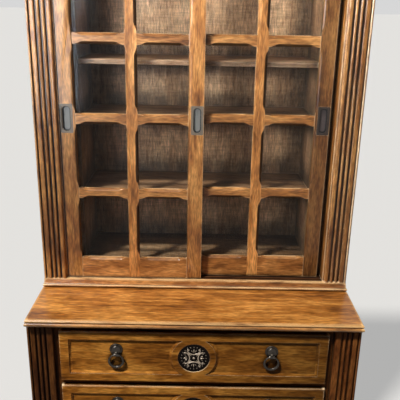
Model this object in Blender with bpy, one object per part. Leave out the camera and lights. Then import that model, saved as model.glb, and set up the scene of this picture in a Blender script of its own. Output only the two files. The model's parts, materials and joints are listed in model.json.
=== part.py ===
"""Hutch cabinet: a glazed upper case with two sliding doors over a chest of three drawers.

The cabinet stands at the world origin, centred on X and Y, with its front facing -Y.
Every wooden board, pane and piece of hardware is its own closed solid. Lengths are metres.
"""
import math

import bmesh
import bpy

# Clearances between pieces that touch or run past each other
SEAT = 0.0003
RUN = 0.0020

# Overall plan of the chest and its top
TOP_WIDTH = 1.100
DEPTH = 0.572
SIDE_OVERHANG = 0.0015
FRONT_OVERHANG = 0.020
TOP_THICKNESS = 0.028
TOP_ROUND = 0.008
TOP_BEAD = 0.006
BOARD = 0.019
BACK_PANEL = 0.008
BACK_REBATE = 0.002

# Reeded pilasters
LOWER_PILASTER = 0.085
UPPER_PILASTER = 0.0835
PILASTER_THICKNESS = 0.022
REED_WIDTH = 0.0128
REED_DEPTH = 0.0075
REED_COUNT = 2
QUIRK = 0.0035
OUTER_STRIP = 0.0275
EDGE_STRIP = 0.0075
EDGE_QUIRK = 0.0025
STRIP_ROUND = 0.005
JAMB_STRIP = 0.005
JAMB_RECESS = 0.010
JAMB_LEG = 0.018

# Plinth
PLINTH_HEIGHT = 0.105
PLINTH_THICKNESS = 0.010
PLINTH_CAP = 0.022
BOTTOM_LIP = 0.045

# Drawers, counted from the top
DRAWER_COUNT = 3
DRAWER_HEIGHT = 0.188
DRAWER_FRONT_THICKNESS = 0.022
DRAWER_EDGE_ROUND = 0.003
DIVIDER_THICKNESS = 0.016
TOP_RAIL_HEIGHT = 0.020
RAIL_DEPTH = 0.060
RAIL_RECESS = 0.014
JAMB_REVEAL = 0.017
DRAWER_BOX_LENGTH = 0.490
DRAWER_BOX_HEIGHT = 0.148
DRAWER_BOX_WALL = 0.012
DRAWER_BOTTOM = 0.006
DRAWER_BOTTOM_LIFT = 0.010

# Sunk panels of a drawer front, and the boss between them
PANEL_FRAME = 0.0295
PANEL_FRAME_END = 0.030
PANEL_SINK = 0.007
PANEL_BEVEL = 0.009
BOSS_RADIUS = 0.0745
BOSS_BEVEL = 0.0095
BOSS_STEPS = 10

# Rosette and its socket in the boss
SOCKET_RADIUS = 0.0535
SOCKET_DEPTH = 0.005
ROSETTE_RADIUS = 0.0530
ROSETTE_RIM = 0.0018
ROSETTE_RELIEF = 0.0062
ROSETTE_PETALS = 8

# Ring pulls
PULL_SPACING = 0.2577
ROSE_LIFT = 0.0260
ROSE_RADIUS = 0.0210
ROSE_PLATE = 0.0030
ROSE_DOME_RADIUS = 0.0130
ROSE_DOME_HEIGHT = 0.0085
LUG_DROP = 0.0150
LUG_STANDOFF = 0.0095
LUG_RADIUS = 0.0052
LUG_BORE = 0.0034
LUG_LENGTH = 0.0090
RING_RADIUS = 0.0235
RING_WIRE = 0.0026

# Waist board with its moulded edge, which carries the upper case
WAIST_HEIGHT = 0.033
WAIST_BEAD = 0.006
UPPER_SETBACK = 0.240
HUTCH_INSET = 0.009
TRACK_THICKNESS = 0.012
TRACK_GROOVE_DEPTH = 0.007
TRACK_GROOVE_WIDTH = 0.0076

# Sliding doors
DOOR_FOOT = 0.0020
DOOR_THICKNESS = 0.024
DOOR_FACE_RECESS = 0.014
DOOR_PITCH = 0.031
DOOR_OVERLAP = 0.0195
DOOR_SIDE_GAP = 0.0015
REAR_DOOR_GAP = 0.0145
STILE_WIDTH = 0.051
TOP_RAIL = 0.053
BOTTOM_RAIL = 0.077
MUNTIN_WIDTH = 0.036
UPRIGHT_WIDTH = 0.038
PANE_HEIGHT = 0.2205
PANE_ROWS = 4
PANE_COLUMNS = 2
CHAMFER_WIDTH = 0.0092
CHAMFER_DEPTH = 0.0085
CHAMFER_START = 0.007
CHAMFER_RUN_IN = 0.026
GLASS_THICKNESS = 0.003
GLASS_SETBACK = 0.012
GLASS_LAP = 0.0055
REBATE_LAP = 0.006
TONGUE_WIDTH = 0.006
TOP_TONGUE = 0.013
TOP_GROOVE_SPARE = 0.004
HEADER_GAP = 0.006

# Flush pulls let into the door stiles
FLUSH_WIDTH = 0.041
FLUSH_HEIGHT = 0.096
FLUSH_CORNER = 0.004
FLUSH_PLATE = 0.0015
FLUSH_SLOT_WIDTH = 0.0257
FLUSH_SLOT_HEIGHT = 0.082
FLUSH_CUP_DEPTH = 0.0090
FLUSH_CUP_WALL = 0.0012
FLUSH_EDGE = 0.0012

# Inside of the upper case
CHANNEL_DEPTH = 0.075
LINING_INSET = 0.0545
FLOOR_RISE = 0.0865
SHELF_THICKNESS = 0.018
SHELF_SETBACK = 0.013
SHELF_TOPS = (0.348, 0.608, 0.795)

# Frieze and crown moulding
FRIEZE_THICKNESS = 0.012
FRIEZE_LAP = 0.010
FRIEZE_HEIGHT = 0.072
CROWN_HEIGHT = 0.066
CROWN_PROJECTION = 0.046
CROWN_BACK = 0.012

# Derived plan positions
Y_FRONT = -DEPTH / 2
Y_BACK = DEPTH / 2
TOP_HALF = TOP_WIDTH / 2
BODY_HALF = TOP_HALF - SIDE_OVERHANG
CHEST_HALF = BODY_HALF - LOWER_PILASTER
HUTCH_HALF = BODY_HALF - HUTCH_INSET
OPENING_HALF = HUTCH_HALF - UPPER_PILASTER
INNER_HALF_WIDTH = OPENING_HALF - LINING_INSET
Y_BODY = Y_FRONT + FRONT_OVERHANG
Y_UPPER = Y_FRONT + UPPER_SETBACK
Y_PANEL_BACK = Y_BACK - BACK_REBATE
Y_PANEL = Y_PANEL_BACK - BACK_PANEL
SIDE_INNER = BODY_HALF - BOARD
HUTCH_INNER = HUTCH_HALF - BOARD

# Derived heights of the chest
BAY_HALF = CHEST_HALF - JAMB_REVEAL
DRAWER_HALF = BAY_HALF - RUN
BOTTOM_TOP = PLINTH_HEIGHT + BOARD
DRAWER_PITCH = DRAWER_HEIGHT + DIVIDER_THICKNESS + 2 * RUN
DRAWERS_TOP = BOTTOM_TOP + DRAWER_COUNT * DRAWER_PITCH - DIVIDER_THICKNESS
CASE_TOP = DRAWERS_TOP + TOP_RAIL_HEIGHT
BASE_HEIGHT = CASE_TOP + TOP_THICKNESS
Y_RAIL = Y_BODY + RAIL_RECESS

# Derived heights of the upper case
WAIST_TOP = BASE_HEIGHT + WAIST_HEIGHT
DOOR_BOTTOM = WAIST_TOP + DOOR_FOOT
GLASS_BOTTOM = DOOR_BOTTOM + BOTTOM_RAIL
GLASS_TOP = GLASS_BOTTOM + PANE_ROWS * PANE_HEIGHT + (PANE_ROWS - 1) * MUNTIN_WIDTH
DOOR_TOP = GLASS_TOP + TOP_RAIL
FRIEZE_BOTTOM = DOOR_TOP - FRIEZE_LAP
TOP_BOARD_BOTTOM = DOOR_TOP + HEADER_GAP
TOP_GROOVE_DEPTH = TOP_TONGUE - HEADER_GAP + TOP_GROOVE_SPARE
TOP_BOARD_THICKNESS = TOP_GROOVE_DEPTH + TRACK_THICKNESS
CROWN_BOTTOM = FRIEZE_BOTTOM + FRIEZE_HEIGHT
CROWN_TOP = CROWN_BOTTOM + CROWN_HEIGHT
FLOOR_TOP = BASE_HEIGHT + FLOOR_RISE
Y_CHANNEL_BACK = Y_UPPER + CHANNEL_DEPTH

# Derived door sizes
DOOR_WIDTH = OPENING_HALF - DOOR_SIDE_GAP + DOOR_OVERLAP
PANE_WIDTH = (DOOR_WIDTH - 2 * STILE_WIDTH - (PANE_COLUMNS - 1) * UPRIGHT_WIDTH) / PANE_COLUMNS
GLASS_HALF = DOOR_WIDTH / 2 - STILE_WIDTH
TONGUE_Y = DOOR_THICKNESS / 2
BOTTOM_TONGUE = DOOR_FOOT + TRACK_GROOVE_DEPTH - SEAT


def material(name, colour, roughness, metallic=0.0, transmission=0.0):
    """Return a Principled material, made once under its name."""
    found = bpy.data.materials.get(name)
    if found:
        return found
    made = bpy.data.materials.new(name)
    made.use_nodes = True
    shader = made.node_tree.nodes["Principled BSDF"]
    shader.inputs["Base Color"].default_value = (*colour, 1.0)
    shader.inputs["Roughness"].default_value = roughness
    shader.inputs["Metallic"].default_value = metallic
    shader.inputs["Transmission Weight"].default_value = transmission
    return made


def case_wood():
    """Honey-brown finished wood of the visible casework."""
    return material("honey_wood", (0.36, 0.17, 0.06), 0.38)


def inner_wood():
    """Browner wood of the inside and the back."""
    return material("inner_wood", (0.20, 0.12, 0.07), 0.55)


def drawer_wood():
    """Pale secondary wood of the drawer boxes."""
    return material("drawer_wood", (0.55, 0.40, 0.24), 0.6)


def track_wood():
    """Dark waxed hardwood of the door track."""
    return material("track_wood", (0.06, 0.035, 0.02), 0.45)


def pewter():
    """Aged grey metal of the pulls."""
    return material("aged_pewter", (0.20, 0.19, 0.18), 0.42, metallic=0.9)


def dark_bronze():
    """Dark metal of the rosettes."""
    return material("dark_bronze", (0.06, 0.05, 0.045), 0.4, metallic=0.8)


def glass():
    """Clear sheet glass."""
    return material("glass", (0.95, 0.97, 0.96), 0.02, transmission=1.0)


def add_object(bm, name, finish, parent=None, location=(0.0, 0.0, 0.0), smooth=None):
    """Turn a bmesh into a named object with faces out, under a parent where it has one."""
    bmesh.ops.recalc_face_normals(bm, faces=bm.faces)
    mesh = bpy.data.meshes.new(name)
    bm.to_mesh(mesh)
    bm.free()
    if smooth is not None:
        mesh.shade_smooth()
        mesh.set_sharp_from_angle(angle=math.radians(smooth))
    mesh.materials.append(finish)
    made = bpy.data.objects.new(name, mesh)
    made.location = location
    made.parent = parent
    bpy.context.scene.collection.objects.link(made)
    return made


def empty(name, location):
    """Return a plain empty that carries the pieces of one moving body."""
    made = bpy.data.objects.new(name, None)
    made.location = location
    bpy.context.scene.collection.objects.link(made)
    return made


def box_mesh(low, high):
    """Return a bmesh box between two corners."""
    bm = bmesh.new()
    bmesh.ops.create_cube(bm, size=1.0)
    for vert in bm.verts:
        for axis in range(3):
            middle = (low[axis] + high[axis]) / 2
            vert.co[axis] = middle + vert.co[axis] * (high[axis] - low[axis])
    return bm


def board(name, low, high, finish, parent=None, ease=0.0):
    """Add a square-cut board, with its arrises eased where ease is given."""
    bm = box_mesh(low, high)
    if ease:
        bmesh.ops.bevel(bm, geom=bm.edges[:], offset=ease, segments=1, affect="EDGES")
    return add_object(bm, name, finish, parent)


def prism_mesh(outline, axis, low, high):
    """Return a prism over a closed outline, drawn in the other two axes and run along axis."""
    bm = bmesh.new()
    rings = []
    for level in (low, high):
        ring = []
        for first, second in outline:
            place = [first, second]
            place.insert(axis, level)
            ring.append(bm.verts.new(place))
        rings.append(ring)
    skin(bm, rings)
    return bm


def skin(bm, rings):
    """Join closed rings of equal counts with quads and close both ends."""
    count = len(rings[0])
    for lower, upper in zip(rings, rings[1:]):
        for index in range(count):
            following = (index + 1) % count
            bm.faces.new((lower[index], lower[following], upper[following], upper[index]))
    bm.faces.new(rings[0])
    bm.faces.new(rings[-1])


def ring_at(bm, outline, y):
    """Place an X-Z outline at one depth and return its vertices."""
    return [bm.verts.new((x, y, z)) for x, z in outline]


def apply_modifiers(target):
    """Bake an object's modifiers into its own mesh."""
    graph = bpy.context.evaluated_depsgraph_get()
    baked = bpy.data.meshes.new_from_object(target.evaluated_get(graph))
    old = target.data
    target.modifiers.clear()
    target.data = baked
    bpy.data.meshes.remove(old)


def combine(target, tool_meshes, operation="DIFFERENCE"):
    """Cut, or join, each tool mesh from the target in turn."""
    tools = []
    for index, bm in enumerate(tool_meshes):
        tool = add_object(bm, f"{target.name}_tool_{index}", case_wood())
        tool.parent = target.parent
        tool.hide_render = True
        tool.display_type = "WIRE"
        step = target.modifiers.new(f"step_{index}", "BOOLEAN")
        step.operation = operation
        step.solver = "EXACT"
        step.object = tool
        tools.append(tool)
    bpy.context.view_layer.update()
    apply_modifiers(target)
    for tool in tools:
        mesh = tool.data
        bpy.data.objects.remove(tool)
        bpy.data.meshes.remove(mesh)


def arc(centre, radius, start, end, steps):
    """Return points of an arc, in degrees from the first axis, both ends included."""
    points = []
    for index in range(steps + 1):
        angle = math.radians(start + (end - start) * index / steps)
        radius_across, radius_up = radius if isinstance(radius, tuple) else (radius, radius)
        points.append((centre[0] + radius_across * math.cos(angle),
                       centre[1] + radius_up * math.sin(angle)))
    return points


def moulded_board(name, profile, half_width, y_front, y_back, finish):
    """Add a board whose edge profile runs round its left, front and right sides.

    The profile lists (out, z) from the underside up; the corners are mitred.
    """
    bm = bmesh.new()
    rings = []
    for out, z in profile:
        across = half_width + out
        rings.append([bm.verts.new(place) for place in (
            (-across, y_back, z), (-across, y_front - out, z),
            (across, y_front - out, z), (across, y_back, z))])
    for lower, upper in zip(rings, rings[1:]):
        for index in range(3):
            bm.faces.new((lower[index], lower[index + 1], upper[index + 1], upper[index]))
    bm.faces.new(rings[0])
    bm.faces.new(rings[-1])
    bm.faces.new([ring[0] for ring in rings] + [ring[3] for ring in reversed(rings)])
    return add_object(bm, name, finish, smooth=35)


def moulding(name, profile, half_width, y_front, y_back, finish):
    """Add a moulding mitred round the left, front and right sides, from a closed profile."""
    bm = bmesh.new()
    stations = []
    for side, at_back in ((-1, True), (-1, False), (1, False), (1, True)):
        stations.append([bm.verts.new((side * (half_width + out),
                                       y_back if at_back else y_front - out, z))
                         for out, z in profile])
    skin(bm, stations)
    return add_object(bm, name, finish, smooth=35)


def reeded_front(width, face, jamb):
    """Return the front outline of a pilaster, from its inner edge outwards, as (across, y).

    It has a recessed strip of width jamb where given, a wide strip, the reeds between their
    quirks, and an outer strip parted by a fine quirk near the pilaster's edge.
    """
    floor = face + REED_DEPTH
    outer = width - OUTER_STRIP
    reeds = outer - REED_COUNT * (REED_WIDTH + QUIRK) - QUIRK
    points = [(0.0, face + JAMB_RECESS), (jamb, face + JAMB_RECESS)] if jamb else []
    points += strip_outline(jamb, reeds, face)
    for number in range(REED_COUNT):
        start = reeds + QUIRK + number * (REED_WIDTH + QUIRK)
        points += arc((start + REED_WIDTH / 2, floor), (REED_WIDTH / 2, -REED_DEPTH), 180, 0, 8)
    points += strip_outline(outer, width - EDGE_STRIP - EDGE_QUIRK, face)
    return points + strip_outline(width - EDGE_STRIP, width, face)


def strip_outline(start, end, face):
    """Return one strip of a pilaster with both its arrises rounded."""
    corner = min(STRIP_ROUND, (end - start) * 0.4)
    rounding = (corner, -corner)
    low = face + corner
    feet = [(start, face + REED_DEPTH)], [(end, face + REED_DEPTH)]
    return (feet[0] + arc((start + corner, low), rounding, 180, 90, 4)
            + arc((end - corner, low), rounding, 90, 0, 4) + feet[1])


def upper_pilaster(side, word):
    """Add one upper pilaster: a reeded front board with a jamb leg behind its inner edge."""
    front = reeded_front(UPPER_PILASTER, Y_UPPER, JAMB_STRIP)
    y_back = Y_UPPER + PILASTER_THICKNESS
    y_leg = Y_CHANNEL_BACK - SEAT
    outline = [*front, (UPPER_PILASTER, y_back), (JAMB_LEG, y_back), (JAMB_LEG, y_leg), (0.0, y_leg)]
    placed = [(side * (OPENING_HALF + across), y) for across, y in outline]
    bm = prism_mesh(placed, 2, WAIST_TOP + SEAT, FRIEZE_BOTTOM - SEAT)
    add_object(bm, f"hutch_pilaster_{word}", case_wood(), smooth=30)


def base_pilaster(side, word):
    """Add one lower pilaster, reeded in line with the upper one."""
    front = reeded_front(LOWER_PILASTER, Y_BODY, 0.0)
    y_back = Y_BODY + PILASTER_THICKNESS
    outline = [*front, (LOWER_PILASTER, y_back), (0.0, y_back)]
    placed = [(side * (CHEST_HALF + across), y) for across, y in outline]
    bm = prism_mesh(placed, 2, 0.0, CASE_TOP - SEAT)
    add_object(bm, f"base_pilaster_{word}", case_wood(), smooth=30)


def top_profile():
    """Edge of the chest's top, from its underside: a bead, a quirk and a rounded arris."""
    quirk_top = BASE_HEIGHT - TOP_ROUND
    bead_middle = CASE_TOP + 0.003 + TOP_BEAD
    bead_out = 0.004
    points = [(-0.006, CASE_TOP), (-0.0045, CASE_TOP + 0.0025)]
    points += arc((-bead_out, bead_middle), (bead_out, TOP_BEAD), -80, 80, 6)
    points += [(-0.0052, bead_middle + TOP_BEAD + 0.001), (-0.0052, quirk_top - 0.0008)]
    points += arc((-0.0015 - TOP_ROUND, quirk_top), TOP_ROUND, 0, 90, 5)
    return points


def waist_profile():
    """Edge of the waist board: a nosing below a cove that rises to the pilasters."""
    low = BASE_HEIGHT + SEAT
    nosing = 0.0045
    middle = low + 0.003 + nosing
    cove_foot = middle + nosing
    points = [(0.0, low), (0.0005, low + 0.003)]
    points += arc((0.001, middle), (WAIST_BEAD - 0.001, nosing), -80, 80, 6)
    cove = WAIST_TOP - cove_foot - 0.002
    points += arc((0.0035, cove_foot + cove + 0.001), (-0.003, -cove), 90, 10, 5)
    points += [(0.0, WAIST_TOP)]
    return points


def crown_profile():
    """Closed section of the frieze with its crown moulding."""
    inner = -FRIEZE_THICKNESS
    fillet = 0.005
    cove_foot = CROWN_BOTTOM + fillet
    cove = CROWN_HEIGHT * 0.55
    cove_out = CROWN_PROJECTION * 0.62
    ovolo = CROWN_HEIGHT - fillet - cove - 2 * fillet
    ovolo_foot = cove_foot + cove + fillet
    ovolo_out = CROWN_PROJECTION - cove_out - 2 * fillet
    points = [(inner, FRIEZE_BOTTOM), (0.0, FRIEZE_BOTTOM), (0.0, FRIEZE_BOTTOM + 0.004)]
    points += arc((0.0, FRIEZE_BOTTOM + 0.0075), (0.0035, 0.0035), -90, 90, 5)[1:]
    points += [(0.0, CROWN_BOTTOM), (fillet, CROWN_BOTTOM), (fillet, cove_foot)]
    points += arc((fillet + cove_out, cove_foot), (-cove_out, cove), 0, 90, 7)[1:]
    points += [(2 * fillet + cove_out, cove_foot + cove), (2 * fillet + cove_out, ovolo_foot)]
    points += arc((2 * fillet + cove_out, ovolo_foot + ovolo), (ovolo_out, -ovolo), 90, 0, 5)[1:]
    points += [(CROWN_PROJECTION, CROWN_TOP), (CROWN_PROJECTION - CROWN_BACK, CROWN_TOP)]
    points += [(inner, CROWN_BOTTOM + fillet)]
    return points


def plinth_profile():
    """Closed section of the plinth, with a small ogee cap."""
    cap = PLINTH_HEIGHT - PLINTH_CAP
    half = PLINTH_CAP / 2
    across = PLINTH_THICKNESS
    points = [(SEAT, 0.0), (across, 0.0), (across, cap)]
    points += arc((across - 0.002, cap + half / 2), (0.004, half / 2), -60, 80, 5)
    points += arc((across, PLINTH_HEIGHT), (-(across - 0.003), -half), 80, 10, 5)
    points += [(SEAT, PLINTH_HEIGHT)]
    return points


def base_bottom(across):
    """Add the bottom board with the lip under its front that backs the plinth."""
    y_lip = Y_BODY + SEAT
    y_inner = Y_RAIL - SEAT
    under = PLINTH_HEIGHT - BOTTOM_LIP
    section = [(y_lip, under), (y_inner + BOARD, under), (y_inner + BOARD, PLINTH_HEIGHT),
               (Y_PANEL - SEAT, PLINTH_HEIGHT), (Y_PANEL - SEAT, BOTTOM_TOP), (Y_RAIL, BOTTOM_TOP),
               (Y_RAIL, PLINTH_HEIGHT), (y_lip, PLINTH_HEIGHT)]
    reach = CHEST_HALF - SEAT
    bottom = add_object(prism_mesh(section, 0, -reach, reach), "base_bottom", case_wood())
    notches = []
    for side in (-1, 1):
        near, far = side * across, side * (reach + BOARD)
        notches.append(box_mesh((min(near, far), y_inner, under - BOARD),
                                (max(near, far), Y_BACK, BOTTOM_TOP + BOARD)))
    combine(bottom, notches)


def build_base():
    """Add the chest's case: sides, back, linings, pilasters, dividers, rail, plinth and top."""
    wood = case_wood()
    inside = inner_wood()
    y_side = Y_BODY + PILASTER_THICKNESS + SEAT
    for side, word in ((-1, "left"), (1, "right")):
        outer, inner = side * BODY_HALF, side * SIDE_INNER
        board(f"base_side_{word}", (min(outer, inner), y_side, 0.0),
              (max(outer, inner), Y_BACK, CASE_TOP - SEAT), wood)
        near, far = side * BAY_HALF, side * (CHEST_HALF - SEAT)
        board(f"base_lining_{word}", (min(near, far), Y_RAIL, 0.0),
              (max(near, far), Y_PANEL - SEAT, CASE_TOP - SEAT), inside)
        base_pilaster(side, word)
    across = BAY_HALF - SEAT
    base_bottom(across)
    for number in range(1, DRAWER_COUNT):
        top = DRAWERS_TOP - number * DRAWER_PITCH + DIVIDER_THICKNESS
        board(f"drawer_divider_{number}", (-across, Y_RAIL, top - DIVIDER_THICKNESS),
              (across, Y_PANEL - SEAT, top), wood)
    board("base_top_rail", (-across, Y_RAIL, DRAWERS_TOP),
          (across, Y_RAIL + RAIL_DEPTH, CASE_TOP - SEAT), wood)
    half = SIDE_INNER - SEAT
    board("base_back", (-half, Y_PANEL, PLINTH_HEIGHT), (half, Y_PANEL_BACK, CASE_TOP - SEAT), inside)
    moulding("plinth", plinth_profile(), BODY_HALF, Y_BODY, Y_BACK, wood)
    moulded_board("base_top", top_profile(), TOP_HALF, Y_FRONT, Y_BACK, wood)


def panel_outline(side, share):
    """Return the X-Z outline of one sunk panel, share 0 at the face and 1 at the field.

    Its inner end is an arc round the middle of the drawer, which leaves the boss standing.
    """
    inset = PANEL_BEVEL * share
    high = DRAWER_HEIGHT / 2 - PANEL_FRAME - inset
    outer = DRAWER_HALF - PANEL_FRAME_END - inset
    reach = BOSS_RADIUS + BOSS_BEVEL * share
    points = [(outer, -high), (outer, high)]
    for index in range(BOSS_STEPS + 1):
        turn = math.asin(min(high / reach, 1.0)) * (1 - 2 * index / BOSS_STEPS)
        points.append((reach * math.cos(turn), reach * math.sin(turn)))
    return [(side * x, z) for x, z in points]


def drawer_front(number, parent):
    """Add a drawer front with its edges rounded, two sunk panels and a rosette socket."""
    high = DRAWER_HEIGHT / 2
    low_corner = (-DRAWER_HALF, 0.0, -high)
    high_corner = (DRAWER_HALF, DRAWER_FRONT_THICKNESS, high)
    bm = box_mesh(low_corner, high_corner)
    front_edges = [edge for edge in bm.edges if all(vert.co.y < SEAT for vert in edge.verts)]
    bmesh.ops.bevel(bm, geom=front_edges, offset=DRAWER_EDGE_ROUND, segments=3, affect="EDGES",
                    profile=0.5)
    front = add_object(bm, f"drawer_{number}_front", case_wood(), parent)
    tools = []
    for side in (-1, 1):
        bm = bmesh.new()
        levels = ((-0.002, 0.0), (0.0, 0.0), (0.0015, 0.0), (PANEL_SINK * 0.8, 0.85), (PANEL_SINK, 1.0))
        skin(bm, [ring_at(bm, panel_outline(side, share), y) for y, share in levels])
        bmesh.ops.recalc_face_normals(bm, faces=bm.faces)
        tools.append(bm)
    tools.append(disc_mesh([(SOCKET_RADIUS, -0.002), (SOCKET_RADIUS, SOCKET_DEPTH)], 48))
    combine(front, tools)
    front.data.shade_smooth()
    front.data.set_sharp_from_angle(angle=math.radians(24))


def disc_mesh(profile, steps):
    """Return a solid turned about the Y axis, from (radius, y) points, closed at both ends."""
    bm = bmesh.new()
    rings = []
    for radius, y in profile:
        rings.append([bm.verts.new((radius * math.cos(2 * math.pi * index / steps), y,
                                    radius * math.sin(2 * math.pi * index / steps)))
                      for index in range(steps)])
    skin(bm, rings)
    bmesh.ops.recalc_face_normals(bm, faces=bm.faces)
    return bm


def drawer_box(number, parent):
    """Add the box behind a drawer front: four walls round a raised bottom."""
    half = DRAWER_HALF - RUN / 2
    foot = -DRAWER_HEIGHT / 2 - RUN + SEAT
    y_near = DRAWER_FRONT_THICKNESS + SEAT
    y_far = y_near + DRAWER_BOX_LENGTH
    box = board(f"drawer_{number}_box", (-half, y_near, foot), (half, y_far, foot + DRAWER_BOX_HEIGHT),
                drawer_wood(), parent)
    wall = DRAWER_BOX_WALL
    under = foot + DRAWER_BOTTOM_LIFT
    hollow = box_mesh((-half + wall, y_near + wall, under + DRAWER_BOTTOM),
                      (half - wall, y_far - wall, foot + DRAWER_BOX_HEIGHT + wall))
    below = box_mesh((-half + wall, y_near + wall, foot - wall), (half - wall, y_far - wall, under))
    combine(box, [hollow, below])


def rosette(number, parent):
    """Add the round rosette: a low rim round a lobed relief that rises to a domed eye."""
    bm = bmesh.new()
    steps = ROSETTE_PETALS * 5
    levels = ((1.0, ROSETTE_RIM, 0.0), (0.90, ROSETTE_RIM, 0.0), (0.86, ROSETTE_RELIEF * 0.75, 0.0),
              (0.77, ROSETTE_RELIEF * 0.75, 0.0), (0.70, ROSETTE_RIM, 0.25), (0.45, ROSETTE_RELIEF * 0.8, 0.35),
              (0.20, ROSETTE_RIM * 1.4, 0.0), (0.12, ROSETTE_RELIEF, 0.0))
    floor = SOCKET_DEPTH - SEAT
    rings = []
    for share, height, lobe in ((1.0, 0.0, 0.0), *levels):
        ring = []
        for index in range(steps):
            turn = 2 * math.pi * index / steps
            lift = height * (1 - lobe * (1 - math.cos(ROSETTE_PETALS * turn)) / 2)
            radius = ROSETTE_RADIUS * share
            ring.append(bm.verts.new((radius * math.cos(turn), floor - lift, radius * math.sin(turn))))
        rings.append(ring)
    skin(bm, rings)
    add_object(bm, f"drawer_{number}_rosette", dark_bronze(), parent, smooth=40)


def rose(name, x, parent):
    """Add the backplate of a ring pull, with its dome and the bored lug that holds the ring."""
    field = PANEL_SINK - SEAT
    plate = ROSE_PLATE
    dome = ROSE_DOME_RADIUS
    profile = [(ROSE_RADIUS, field), (ROSE_RADIUS, field - plate * 0.5),
               (ROSE_RADIUS * 0.86, field - plate), (ROSE_RADIUS * 0.66, field - plate),
               (dome, field - plate * 1.1), (dome * 0.8, field - plate * 0.4 - ROSE_DOME_HEIGHT * 0.75),
               (dome * 0.35, field - plate * 0.4 - ROSE_DOME_HEIGHT)]
    body = add_object(disc_mesh(profile, 20), name, pewter(), parent, (x, 0.0, ROSE_LIFT))
    y_lug = field - LUG_STANDOFF
    half = LUG_LENGTH / 2
    lug = prism_mesh(arc((y_lug, -LUG_DROP), LUG_RADIUS, 0, 330, 11), 0, -half, half)
    neck = prism_mesh([(field - plate * 0.5, -LUG_DROP + LUG_RADIUS * 0.2),
                       (field - plate * 0.5, -dome * 0.3), (y_lug, -dome * 0.5),
                       (y_lug, -LUG_DROP + LUG_RADIUS * 0.6)], 0, -half * 0.9, half * 0.9)
    bore = prism_mesh(arc((y_lug, -LUG_DROP), LUG_BORE, 0, 330, 11), 0, -LUG_LENGTH, LUG_LENGTH)
    for bm in (lug, neck, bore):
        bmesh.ops.translate(bm, vec=(x, 0.0, ROSE_LIFT), verts=bm.verts)
        bmesh.ops.recalc_face_normals(bm, faces=bm.faces)
    combine(body, [neck, lug], "UNION")
    combine(body, [bore])
    body.data.shade_smooth()
    body.data.set_sharp_from_angle(angle=math.radians(40))


def pull_ring(name, x, parent):
    """Add a ring that hangs from its lug, its origin on the hinge axis in the lug's bore."""
    bm = bmesh.new()
    turns, around = 22, 8
    rings = []
    for index in range(turns):
        turn = 2 * math.pi * index / turns
        ring = []
        for step in range(around):
            angle = 2 * math.pi * step / around
            reach = RING_RADIUS + RING_WIRE * math.cos(angle)
            ring.append(bm.verts.new((reach * math.sin(turn), RING_WIRE * math.sin(angle),
                                      reach * math.cos(turn) - RING_RADIUS)))
        rings.append(ring)
    for index in range(turns):
        near, far = rings[index], rings[(index + 1) % turns]
        for step in range(around):
            after = (step + 1) % around
            bm.faces.new((near[step], near[after], far[after], far[step]))
    hinge = (x, PANEL_SINK - SEAT - LUG_STANDOFF, ROSE_LIFT - LUG_DROP)
    add_object(bm, name, pewter(), parent, hinge, smooth=60)


def build_drawers():
    """Add the drawers, each on an empty at the middle of its front's face."""
    for number in range(1, DRAWER_COUNT + 1):
        middle = DRAWERS_TOP - RUN - DRAWER_HEIGHT / 2 - (number - 1) * DRAWER_PITCH
        carrier = empty(f"drawer_{number}_carrier", (0.0, Y_BODY, middle))
        drawer_front(number, carrier)
        drawer_box(number, carrier)
        rosette(number, carrier)
        for side, word in ((-1, "left"), (1, "right")):
            rose(f"drawer_{number}_rose_{word}", side * PULL_SPACING, carrier)
            pull_ring(f"drawer_{number}_ring_{word}", side * PULL_SPACING, carrier)


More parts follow.
